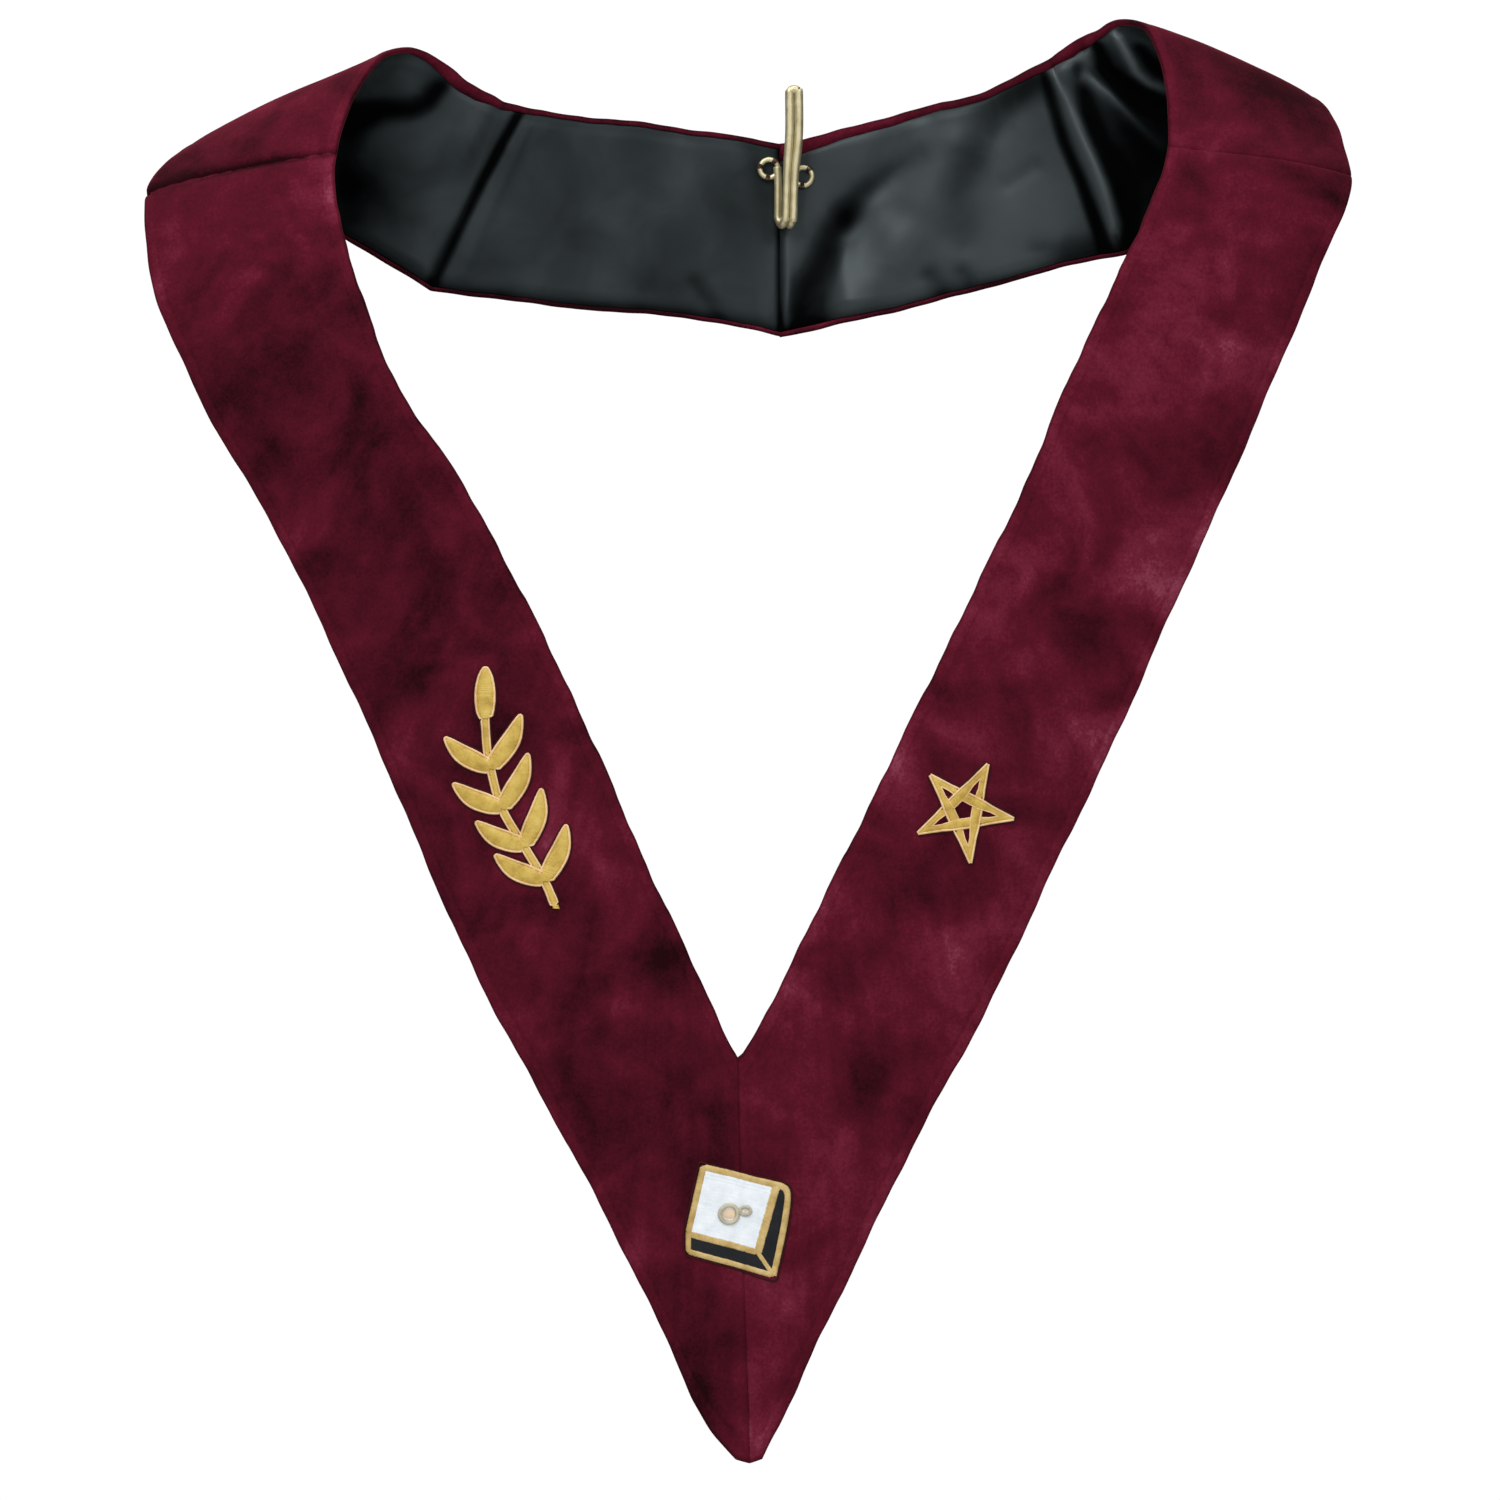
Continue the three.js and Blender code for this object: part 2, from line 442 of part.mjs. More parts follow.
function shank(k) {
  // one side of the doubled wire, from its eyelet to the top of the hairpin; k is -1 left, 1 right
  const rear = HOOK.rear + (k * HOOK.pitchLow) / 2, low = HOOK.low + (k * HOOK.pitchLow) / 2, high = HOOK.middle + (k * HOOK.pitchTop) / 2;
  const mid = (HOOK.back + HOOK.front) / 2, r = (HOOK.back - HOOK.front) / 2;
  const pts = EYES[k < 0 ? 0 : 1].lead.map(([x, z]) => V(x, HOOK.back, z));
  pts.push(V(rear, HOOK.back, HOOK.bottom + r + 4));
  for (let i = 0; i <= 6; i++) {
    const a = (Math.PI * i) / 6;
    pts.push(V(rear + ((low - rear) * i) / 6, mid + r * Math.cos(a), HOOK.bottom + r - r * Math.sin(a)));
  }
  pts.push(V(low + 0.6, HOOK.front, HOOK.bottom + 25), V(high, HOOK.front, HOOK.bottom + 47), V(high, HOOK.front, HOOK.top - HOOK.pitchTop));
  return pts;
}
const hairpin = Array.from({ length: 5 }, (_, i) => {
  const a = Math.PI * ((i + 1) / 6);
  return V(HOOK.middle - (HOOK.pitchTop / 2) * Math.cos(a), HOOK.front, HOOK.top - HOOK.pitchTop + (HOOK.pitchTop / 2) * Math.sin(a));
});
const wirePath = new THREE.CatmullRomCurve3([...shank(-1), ...hairpin, ...shank(1).reverse()], false, "centripetal");
const wire = new THREE.ExtrudeGeometry(wireShape(WIRE / 2), { steps: 60, bevelEnabled: false, extrudePath: wirePath });
const eye = ({ x, z }) => {
  const g = new THREE.TorusGeometry(EYE_RADIUS, EYE_WIRE, 6, 16);
  g.rotateX(Math.PI / 2);
  g.translate(x, HOOK.back + 0.2, z);
  return g;
};
const hook = join([wire, ...EYES.map(eye)]);
put("neck_hook", geometry(hook), new THREE.MeshStandardMaterial({ color: 0xc2b184, roughness: 0.3, metalness: 1 }));

export default group;
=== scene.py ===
import math

import bpy
import numpy as np
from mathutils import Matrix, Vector

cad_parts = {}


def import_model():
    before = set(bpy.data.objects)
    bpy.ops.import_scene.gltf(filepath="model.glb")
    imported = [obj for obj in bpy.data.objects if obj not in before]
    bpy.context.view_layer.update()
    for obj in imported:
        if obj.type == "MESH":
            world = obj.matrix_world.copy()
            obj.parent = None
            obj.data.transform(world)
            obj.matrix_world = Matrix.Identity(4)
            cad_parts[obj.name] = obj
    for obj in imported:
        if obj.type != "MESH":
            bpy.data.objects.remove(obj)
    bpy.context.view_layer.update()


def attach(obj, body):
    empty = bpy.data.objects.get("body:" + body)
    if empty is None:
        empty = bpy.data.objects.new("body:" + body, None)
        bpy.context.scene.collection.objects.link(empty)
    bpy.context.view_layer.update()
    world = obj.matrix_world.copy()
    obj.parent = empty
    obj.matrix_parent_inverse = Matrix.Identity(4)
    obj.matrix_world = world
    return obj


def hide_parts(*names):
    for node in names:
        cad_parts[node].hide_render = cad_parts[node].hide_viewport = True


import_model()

# ---------------------------------------------------------------- the band's surface

# The band, as in the CAD model, in millimetres. Each half runs from the point of the V to the centre back. A row is one
# section across the band: its edge at the neck, its other edge, and how far the middle stands proud.
# name, inner edge x y z, outer edge x y z, bow
LEFT = [
    ("point", -22, -112, -423, -16, -108, -629, 0),
    ("point_corner", -23, -112, -420.5, -23, -108, -627, 0),
    ("point_side", -25.5, -112, -415.5, -30, -108, -620, 1),
    ("front_1", -45, -112, -374, -57, -107, -569, 2),
    ("front_2", -71, -113, -318, -98.5, -106, -485.5, 3),
    ("front_3", -97, -114, -257.5, -146, -105, -399.5, 4),
    ("front_4", -126, -114, -197, -183, -103, -318.5, 4),
    ("front_5", -158.5, -112, -136, -218, -99, -237, 4),
    ("front_6", -195, -108, -80, -258, -92, -155.5, 4),
    ("front_7", -213, -101, -34, -299, -82, -83.5, 4),
    ("front_8", -223.5, -91, 2.5, -323, -69, -27.5, 4),
    ("shoulder_seam", -227, -79, 37.5, -327, -54, 18.5, 4),
    ("rise_1", -222, -71, 56.5, -324, -46, 27.5, 4),
    ("rise_2", -214.5, -60, 75.5, -315.5, -37, 37.5, 4),
    ("ridge", -204, -46, 91, -301.5, -28, 44.5, 3.5),
    ("fall_1", -191, -35, 96.5, -281, -22, 37, 3),
    ("fall_2", -174.5, -28, 89.5, -254.5, -20, 17, 2),
    ("fall_3", -158.5, -24, 78.5, -218, -20, -7, 1),
    ("neck_seam", -143.5, -21, 71, -182.5, -19, -28.5, 0),
    ("back_1", -115, -13, 65, -138.5, -13, -34, 1),
    ("back_2", -78.5, -6, 62.5, -91.5, -6, -38, 1),
    ("back_3", -39.5, -1, 57.5, -46, -1, -42, 1),
    ("centre_back", 0, 1.3, 51, 0, 1.3, -51, 0),
]
RIGHT = [
    ("point", -22, -112, -423, -16, -108, -629, 0),
    ("point_corner", -19.5, -112, -420.5, -9.5, -108, -627, 0),
    ("point_side", -16, -112, -415.5, -3.5, -108, -615.5, 1),
    ("front_1", 5, -112, -374, 18.5, -107, -569, 2),
    ("front_2", 33, -113, -318, 58.5, -106, -485.5, 3),
    ("front_3", 62.5, -114, -257.5, 104, -105, -399.5, 4),
    ("front_4", 92, -114, -197, 143, -103, -318.5, 4),
    ("front_5", 121.5, -112, -136, 181, -99, -237, 4),
    ("front_6", 145, -108, -80, 217.5, -92, -155.5, 4),
    ("front_7", 166.5, -101, -34, 247.5, -82, -89, 4),
    ("front_8", 183.5, -91, 1.5, 277.5, -68, -18.5, 4),
    ("shoulder_seam", 197, -78, 40.5, 294.5, -54, 27.5, 5),
    ("rise_1", 198.5, -70, 59.5, 292.5, -46, 40, 4.5),
    ("rise_2", 196, -59, 82.5, 287.5, -38, 56.5, 4.5),
    ("ridge", 186.5, -45, 106, 277.5, -28, 68, 4),
    ("fall_1", 174.5, -34, 110.5, 263, -22, 63, 3),
    ("fall_2", 162.5, -28, 106.3, 239.5, -20, 40, 2),
    ("fall_3", 151.5, -25, 100.3, 211.5, -20, 13.5, 1),
    ("neck_seam", 140.5, -23, 93.3, 181.5, -20, -9.5, 0),
    ("back_1", 108.5, -15, 77.8, 141, -15, -17.5, 1),
    ("back_2", 76, -8, 69.5, 97, -8, -29.5, 1),
    ("back_3", 36.5, -2, 59.5, 50, -2, -41, 1),
    ("centre_back", 0, 1.3, 51, 0, 1.3, -51, 0),
]
CREASES = ("point_corner", "neck_seam")
# Broad folds that the whole band has: side, from and to as section and share of the width, half width and height in mm
FOLDS = [
    ("right", (21.9, 0.97), (20.1, 0.05), 15, 4),
    ("right", (21.2, 0.95), (19.6, 0.3), 13, -3),
    ("right", (17.9, 0.05), (17.2, 0.95), 12, -3.5),
    ("right", (16.9, 0.05), (16.6, 0.9), 12, 3.5),
    ("left", (17.4, 0.3), (16.8, 0.95), 13, -2.5),
    ("left", (19.2, 0.1), (19.8, 0.8), 16, 1.5),
]
BAND, VELVET, LINING, HALF_GAP = 100.0, 1.8, 1.15, 0.15


def unit(v):
    return v / np.maximum(np.linalg.norm(v, axis=-1, keepdims=True), 1e-12)


class Half:
    """One half of the band: a smooth surface over s, the distance along it, and u, the share of its width."""

    def __init__(self, rows, side):
        self.side = side
        self.sign = 1.0 if side == "left" else -1.0
        self.names = [r[0] for r in rows]
        self.values = np.array([r[1:] for r in rows], float)
        steps = np.diff(self.values, axis=0)
        chord = (np.linalg.norm(steps[:, :3], axis=1) + np.linalg.norm(steps[:, 3:6], axis=1)) / 2
        self.s = np.concatenate([[0], np.cumsum(chord)])
        self.end = self.s[-1]
        slope = steps / chord[:, None]
        n = len(rows)
        self.before, self.after = np.zeros((n, 7)), np.zeros((n, 7))
        for i in range(n):
            a, b = slope[max(i - 1, 0)], slope[min(i, n - 2)]
            if 0 < i < n - 1 and self.names[i] not in CREASES:
                a = b = (chord[i] * a + chord[i - 1] * b) / (chord[i - 1] + chord[i])
            self.before[i], self.after[i] = a, b
        self.folds = [
            ((self.at(a[0]), a[1] * BAND), (self.at(b[0]), b[1] * BAND), width, height)
            for side, a, b, width, height in FOLDS
            if side == self.side
        ]

    def at(self, index):
        return float(np.interp(index, range(len(self.s)), self.s))

    def section(self, name):
        return self.s[self.names.index(name)]

    def cut(self, s):
        i = np.clip(np.searchsorted(self.s, s, side="left") - 1, 0, len(self.s) - 2)
        h = self.s[i + 1] - self.s[i]
        t = (s - self.s[i]) / h
        t, h = t[..., None], h[..., None]
        t2, t3 = t * t, t * t * t
        return (
            self.values[i] * (2 * t3 - 3 * t2 + 1)
            + self.values[i + 1] * (3 * t2 - 2 * t3)
            + h * (self.after[i] * (t3 - 2 * t2 + t) + self.before[i + 1] * (t3 - t2))
        )

    def flat(self, s, u):
        c = self.cut(s)
        return c[..., :3] + u[..., None] * (c[..., 3:6] - c[..., :3])

    def fold(self, s, u):
        total = np.zeros(np.shape(s))
        for a, b, width, height in self.folds:
            total += height * np.exp(-((distance(s, u * BAND, [a, b])[0] / width) ** 2))
        held = np.minimum(1, np.minimum((self.end - s) / 12, np.abs(s - self.section("neck_seam")) / 12))
        return total * np.maximum(0, held)

    def own(self, s, u):
        lo, hi = np.maximum(0, s - 0.5), np.minimum(self.end, s + 0.5)
        u0, u1 = np.maximum(0, u - 0.02), np.minimum(1, u + 0.02)
        face = self.sign * unit(np.cross(self.flat(hi, u) - self.flat(lo, u), self.flat(s, u1) - self.flat(s, u0)))
        bow = self.cut(s)[..., 6] * 4 * u * (1 - u) + self.fold(s, u)
        return self.flat(s, u) + face * bow[..., None]

    def point(self, s, u):
        """The band's surface; past either end the other half carries on."""
        s, u = np.broadcast_arrays(np.asarray(s, float), np.asarray(u, float))
        out = self.own(np.clip(s, 0, self.end), u)
        low, high = s < 0, s > self.end
        if low.any():
            out[low] = self.other.own(-s[low], u[low])
        if high.any():
            out[high] = self.other.own(self.other.end - (s[high] - self.end), u[high])
        return out

    def facing(self, s, u, step=3.0):
        """Which way the velvet side faces."""
        s, u = np.broadcast_arrays(np.asarray(s, float), np.asarray(u, float))
        u0, u1 = np.maximum(0, u - 0.02), np.minimum(1, u + 0.02)
        along = self.point(s + step, u) - self.point(s - step, u)
        return self.sign * unit(np.cross(along, self.point(s, u1) - self.point(s, u0)))

    def find(self, x, z):
        """The place on the front of the band that is seen at x, z."""
        x, z = np.asarray(x, float), np.asarray(z, float)
        s, u = np.full(x.shape, self.section("front_3")), np.full(x.shape, 0.5)
        for _ in range(25):
            p = self.point(s, u)
            a, b = (self.point(s + 0.5, u) - p) / 0.5, (self.point(s, u + 0.01) - p) / 0.01
            ex, ez = x - p[..., 0], z - p[..., 2]
            det = a[..., 0] * b[..., 2] - a[..., 2] * b[..., 0]
            s = s + (ex * b[..., 2] - ez * b[..., 0]) / det
            u = u + (ez * a[..., 0] - ex * a[..., 2]) / det
        return s, u


def distance(s, v, line):
    """How far (s, v), in mm on the band, is from a line of points, on which side of it, and how far along it."""
    best = np.full(np.shape(s), 1e9)
    side, along, run = np.zeros(np.shape(s)), np.zeros(np.shape(s)), 0.0
    for (s0, v0), (s1, v1) in zip(line, line[1:]):
        ds, dv = s1 - s0, v1 - v0
        long = math.hypot(ds, dv)
        k = np.clip(((s - s0) * ds + (v - v0) * dv) / (long * long), 0, 1)
        off = np.hypot(s - s0 - k * ds, v - v0 - k * dv)
        near = off < best
        best = np.where(near, off, best)
        side = np.where(near, np.sign((s - s0) * dv - (v - v0) * ds), side)
        along = np.where(near, run + k * long, along)
        run += long
    return best, side, along / max(run, 1e-9)


left, right = Half(LEFT, "left"), Half(RIGHT, "right")
left.other, right.other = right, left


# ---------------------------------------------------------------- cloth shapes


def waves(side, s, v):
    """The velvet lies a little unevenly: soft swells of under a millimetre."""
    k = 0.0 if side == "left" else 2.1
    return (
        0.42 * np.sin(s / 23.0 + v / 31.0 + k)
        + 0.34 * np.sin(s / 41.0 - v / 19.0 + 1.3 + k)
        + 0.22 * np.sin(s / 11.5 + v / 14.0 + 2.6 * k)
        + 0.12 * np.sin(s / 6.3 - v / 9.0 + 0.7 + k)
    )


# Seams across the band: side, section, depth and half width of the groove in mm, and how much painted shade (or light)
# the velvet's colour gets along the seam
SEAMS = [
    ("left", "point", 0.5, 1.5, -0.06),
    ("right", "point", 0.5, 1.5, 0.0),
    ("left", "shoulder_seam", 1.7, 2.7, -0.5),
    ("right", "shoulder_seam", 0.3, 1.6, 0.04),
    ("left", "neck_seam", 1.1, 1.8, -0.15),
    ("right", "neck_seam", 1.1, 1.8, -0.15),
    ("left", "centre_back", 0.9, 1.5, -0.15),
    ("right", "centre_back", 0.9, 1.5, -0.15),
]
EDGE_STITCH = 6.5  # mm from each edge of the front bands to the line of stitches


def grooves(half, s, v, share=1.0):
    total = np.zeros(np.shape(s))
    for side, name, depth, width, _ in SEAMS:
        if side == half.side:
            away = np.abs(s - half.section(name))
            total -= share * depth * np.exp(-((away / width) ** 2))
            total += share * 0.14 * depth * np.sin(v / 1.35 + 2 * np.sin(v / 7.7)) * np.exp(-away / 6.0)
    return total


def skin(half, s, v):
    """Height of the velvet face over its nominal level."""
    inside = np.clip((half.end + 40 - s) / 40, 0, 1)
    rim = np.minimum(v, BAND - v)
    edge = -0.1 * np.exp(-(((rim - EDGE_STITCH) / 0.9) ** 2)) * (0.75 + 0.25 * np.sin(s / 0.9))
    puff = 0.18 * np.exp(-(((rim - 3.4) / 1.6) ** 2)) * (1 + 0.6 * np.sin(s / 3.1 + 1.7 * np.sin(s / 13.0)))
    return inside * waves(half.side, s, v) * np.clip(rim / 12, 0.25, 1) + grooves(half, s, v) + edge + puff


def wander(half, s, v):
    """The edges aren't quite straight."""
    k = 0.0 if half.side == "left" else 1.9
    held = np.clip(s / 14, 0, 1)
    inner = 0.34 * np.sin(s / 8.3 + k) + 0.3 * np.sin(s / 17.0 + 2 * k) + 0.12 * np.sin(s / 3.1)
    outer = 0.34 * np.sin(s / 9.1 + 2 + k) + 0.3 * np.sin(s / 19.0 + k) + 0.12 * np.sin(s / 2.9 + 1)
    return v + held * ((0.35 + inner * (1 - v / BAND)) - v / BAND * 0.7 + outer * v / BAND)


def place(half, s, v, d):
    u = np.clip(wander(half, s, v) / BAND, 0, 1)
    return half.point(s, u) + half.facing(s, u) * np.asarray(d)[..., None]


# How far the satin stands off its backing, as broad swells: side, section, share of the width, reach along and across
# in mm, height in mm, and how much painted light (or painted shade) its colour gets
SWELLS = [
    ("left", 15.3, 0.2, 26, 30, 2.6, -0.03),
    ("left", 16.4, 0.72, 22, 36, 0.0, -0.12),
    ("left", 17.2, 0.4, 30, 60, 1.8, 0.0),
    ("left", 19.6, 0.5, 55, 50, 1.2, 0.0),
    ("left", 21.4, 0.4, 30, 50, 0.8, -0.03),
    ("right", 21.3, 0.7, 34, 45, 2.6, 0.0),
    ("right", 20.2, 0.3, 40, 40, 2.0, -0.02),
    ("right", 19.0, 0.7, 40, 45, 2.2, 0.0),
    ("right", 18.85, 0.6, 26, 34, 0.0, 0.17),
    ("right", 20.3, 0.75, 26, 30, 0.0, 0.07),
    ("right", 19.9, 0.14, 24, 16, 0.0, 0.08),
    ("right", 17.4, 0.5, 34, 70, 3.4, 0.0),
    ("right", 16.3, 0.55, 44, 60, 2.6, -0.5),
    ("right", 17.3, 0.8, 16, 34, 0.0, -0.2),
    ("right", 18.75, 0.07, 22, 9, 0.0, -0.16),
]
# Folds of the satin: side, points as section and share of the width, half width and height in mm, how much steeper the
# fold is on its one side, its strength at the first and the last point, and how much painted light (or painted shade)
# its colour gets.
# Negative heights are hollows.
SATIN_FOLDS = [
    ("left", [(15.42, 0.5), (15.62, 0.43)], 9.0, -1.6, 1.0, 1.0, 0.6, -0.3),
    ("left", [(15.51, 0.5), (15.84, 0.36), (16.2, 0.28), (16.36, 0.21), (16.33, 0.12)], 7.0, -3.6, 1.1, 0.9, 0.8, -0.58),
    ("left", [(15.5, 0.5), (15.78, 0.57), (15.95, 0.66), (16.31, 0.76), (16.63, 0.9)], 6.5, -2.2, 1.0, 1.0, 0.7, -0.3),
    ("left", [(15.45, 0.19), (15.9, 0.18)], 9.0, 1.6, 1.4, 1.0, 1.0, 0.03),
    ("left", [(16.5, 0.74), (16.9, 0.78), (17.3, 0.8)], 10.0, -1.4, 1.0, 1.0, 0.6, -0.16),
    ("left", [(17.62, 0.06), (17.66, 0.5), (17.66, 0.95)], 8.0, 1.2, 1.0, 1.0, 1.0, 0.03),
    ("left", [(18.33, 0.0), (18.21, 0.2), (18.12, 0.42), (18.05, 0.7), (17.99, 1.0)], 2.7, -3.0, 1.0, 1.15, 0.75, -0.6),
    ("left", [(18.5, 0.1), (18.35, 0.5), (18.28, 0.9)], 5.0, 0.8, 1.4, 1.0, 1.0, 0.02),
    ("left", [(19.3, 0.62), (19.9, 0.7), (20.4, 0.86)], 9.0, -1.2, 1.0, 0.4, 1.0, -0.05),
    ("left", [(20.7, 0.1), (20.9, 0.45), (21.3, 0.75)], 10.0, 0.9, 1.4, 1.0, 0.6, 0.03),
    ("left", [(21.0, 0.8), (21.2, 0.9), (21.3, 0.97)], 4.0, -1.0, 1.0, 1.0, 1.0, -0.14),
    ("left", [(21.6, 0.04), (21.8, 0.3), (21.85, 0.5)], 6.0, -1.0, 1.0, 1.0, 0.6, -0.1),
    ("right", [(21.84, 0.97), (21.7, 0.77), (21.51, 0.64), (21.37, 0.53), (21.21, 0.45)], 7.6, -4.2, 1.0, 1.15, 0.78, -0.6),
    ("right", [(21.21, 0.45), (20.99, 0.36), (20.66, 0.29), (20.2, 0.24)], 6.0, -2.6, 1.0, 0.95, 0.25, -0.42),
    ("right", [(21.6, 0.97), (21.5, 0.8), (21.36, 0.64)], 6.0, -1.2, 1.0, 1.0, 0.5, -0.4),
    ("right", [(21.94, 0.45), (21.93, 0.95)], 2.4, 1.3, 1.0, 0.8, 1.3, 0.2),
    ("right", [(21.3, 0.6), (21.22, 0.92)], 8.0, 2.0, 1.4, 0.8, 1.0, 0.08),
    ("right", [(20.75, 0.45), (20.6, 0.75)], 9.0, 1.0, 1.0, 1.0, 0.6, 0.03),
    ("right", [(20.34, 0.86), (20.24, 0.95)], 5.0, -1.2, 1.0, 1.0, 1.0, -0.22),
    ("right", [(19.98, 0.89), (19.92, 0.93)], 4.5, -1.0, 1.0, 1.0, 1.0, -0.18),
    ("right", [(20.6, 0.5), (20.2, 0.6), (19.9, 0.75)], 8.0, -1.2, 1.0, 0.5, 1.0, -0.07),
    ("right", [(18.4, 0.08), (18.89, 0.12), (19.23, 0.22), (19.64, 0.38), (19.82, 0.5), (19.85, 0.66)], 9.5, -2.2, 1.0, 1.2, 0.6, -0.24),
    ("right", [(19.15, 0.5), (18.75, 0.46)], 5.0, -0.9, 1.0, 1.0, 1.0, -0.07),
    ("right", [(18.35, 0.93), (18.79, 0.92), (19.05, 0.88)], 5.5, -1.4, 1.0, 1.2, 0.8, -0.26),
    ("right", [(18.14, 0.04), (18.2, 0.2), (18.24, 0.4), (18.22, 0.6), (18.24, 0.97)], 3.1, -2.4, 1.0, 0.8, 1.5, -0.62),
    ("right", [(18.1, 0.02), (17.98, 0.2), (17.97, 0.38), (17.94, 0.54), (17.98, 0.74), (18.02, 0.86)], 4.0, 2.3, 1.2, 0.8, 1.0, 0.5),
    ("right", [(17.42, 0.14), (17.62, 0.32), (17.68, 0.47), (17.66, 0.68), (17.78, 0.86), (17.98, 0.99)], 4.4, -3.0, 1.0, 0.8, 1.1, -0.5),
    ("right", [(17.84, 0.05), (17.3, 0.08), (16.6, 0.09)], 6.5, 1.0, 1.0, 1.0, 0.9, 0.3),
    ("right", [(17.4, 0.18), (17.1, 0.32), (16.96, 0.45), (16.87, 0.57), (16.78, 0.67)], 4.2, 2.0, 1.2, 1.0, 0.4, 0.5),
    ("right", [(16.3, 0.08), (16.55, 0.2), (16.45, 0.36), (16.24, 0.52)], 5.0, -3.0, 1.0, 1.0, 1.0, -0.4),
    ("right", [(15.55, 0.08), (15.85, 0.21), (16.02, 0.3), (16.02, 0.39), (15.87, 0.47)], 4.0, 2.0, 1.2, 1.0, 0.7, 0.62),
    ("right", [(15.45, 0.22), (15.66, 0.35), (15.6, 0.5)], 4.0, -2.2, 1.0, 1.0, 1.0, -0.3),
]


def satin_folds(half, s, v):
    """How far the satin stands off its backing, into the neck, and how light its colour is painted: painted light and
    shade for its folds, swells, seams and hems.
    """
    k = 0.0 if half.side == "left" else 1.7
    total = 0.6 + 0.14 * np.sin(s / 8.5 + v / 21.0 + k) + 0.2 * np.sin(s / 15.0 - v / 18.0 + 2 * k)
    # the right half of the lining is painted lighter than the left: painted light
    light = np.full(np.shape(s), 0.43 if half.side == "left" else 0.575)
    light = light + 0.03 * np.sin(s / 13.0 + v / 17.0 + k) + 0.02 * np.sin(s / 7.0 - v / 26.0 + 3 * k)
    for side, section, share, along, across, height, painted_light in SWELLS:
        if side == half.side:
            near = np.exp(-(((s - half.at(section)) / along) ** 2) - ((v - share * BAND) / across) ** 2)
            total, light = total + height * near, light + painted_light * near
    painted_fold_light = np.zeros(np.shape(s))
    for side, line, width, height, steep, first, last, painted_light in SATIN_FOLDS:
        if side != half.side:
            continue
        off, where, along = distance(s, v, [(half.at(i), u * BAND) for i, u in line])
        across = off / width * np.where(where > 0, steep, 1.0)
        strength = (first + (last - first) * along) * np.exp(-(across**2))
        total = total + height * strength
        painted_fold_light = painted_fold_light + painted_light * strength
    # where folds meet they don't add up without end
    # painted light on the ridges and painted shade in the hollows of the folds
    light = light + np.where(painted_fold_light < 0, 0.62 * np.tanh(painted_fold_light / 0.62), painted_fold_light)
    total = 0.15 + 0.5 * (total - 0.15 + np.sqrt((total - 0.15) ** 2 + 0.3))
    rim = np.minimum(v - 3.0, BAND - 3.0 - v)
    held = np.clip(rim / 6.0, 0, 1) ** 0.7
    for name in ("centre_back", "shoulder_seam"):
        held = held * (1 - 0.85 * np.exp(-((s - half.section(name)) / 2.6) ** 2))
    # painted shade along the centre back seam
    light = light - 0.4 * np.exp(-((s - half.section("centre_back")) / 1.7) ** 2) * np.clip(0.45 + v / BAND, 0, 1)
    # painted shade along the hems
    light = light - 0.12 * np.exp(-(np.clip(rim, 0, None) / 3.0) ** 2) * np.where(v > BAND / 2, 1.6, 0.7)
    return total * held, np.clip(light, 0.0, 1.0)


def join_grids(top, low):
    """A closed mesh from two grids of points that share their rim count."""
    m, n = top.shape[:2]
    points = np.concatenate([top.reshape(-1, 3), low.reshape(-1, 3)])
    t = np.arange(m * n).reshape(m, n)
    b = t + m * n
    faces = [
        np.stack([t[:-1, :-1], t[1:, :-1], t[1:, 1:], t[:-1, 1:]], -1).reshape(-1, 4),
        np.stack([b[:-1, :-1], b[:-1, 1:], b[1:, 1:], b[1:, :-1]], -1).reshape(-1, 4),
    ]
    ring = lambda g: np.concatenate([g[:, 0], g[-1, 1:], g[-2::-1, -1], g[0, -2:0:-1]])
    r, q = ring(t), ring(b)
    faces.append(np.stack([r, q, np.roll(q, -1), np.roll(r, -1)], -1))
    return points, np.concatenate(faces)


def turned(points, faces):
    """The same faces, all facing out."""
    a, b, c, d = (points[faces[:, k]] for k in range(4))
    volume = np.einsum("ij,ij->i", a, np.cross(b, c)).sum() + np.einsum("ij,ij->i", a, np.cross(c, d)).sum()
    return faces if volume > 0 else faces[:, ::-1]


def build(name, points, faces, material, slot, nodes=(), smooth=True, sharp=(), **attributes):
    faces = turned(points, np.asarray(faces))
    mesh = bpy.data.meshes.new(name)
    mesh.vertices.add(len(points))
    mesh.vertices.foreach_set("co", (points / 1000.0).astype(np.float32).ravel())
    mesh.loops.add(faces.size)
    mesh.loops.foreach_set("vertex_index", faces.astype(np.int32).ravel())
    mesh.polygons.add(len(faces))
    mesh.polygons.foreach_set("loop_start", np.arange(0, faces.size, 4, dtype=np.int32))
    mesh.update(calc_edges=True)
    mesh.validate()
    mesh.polygons.foreach_set("use_smooth", np.full(len(mesh.polygons), smooth))
    for line in sharp:
        ends = np.empty(2 * len(mesh.edges), np.int32)
        mesh.edges.foreach_get("vertices", ends)
        on = np.isin(ends.reshape(-1, 2), line).all(axis=1)
        for edge in np.nonzero(on)[0]:
            mesh.edges[int(edge)].use_edge_sharp = True
    for key, value in attributes.items():
        layer = mesh.attributes.new(key, "FLOAT_VECTOR", "POINT")
        layer.data.foreach_set("vector", value.astype(np.float32).ravel())
    mesh.materials.append(material)
    piece = bpy.data.objects.new(name, mesh)
    bpy.context.scene.collection.objects.link(piece)
    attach(piece, "root")
    if nodes:
        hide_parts(*nodes)
    return piece


# ---------------------------------------------------------------- materials


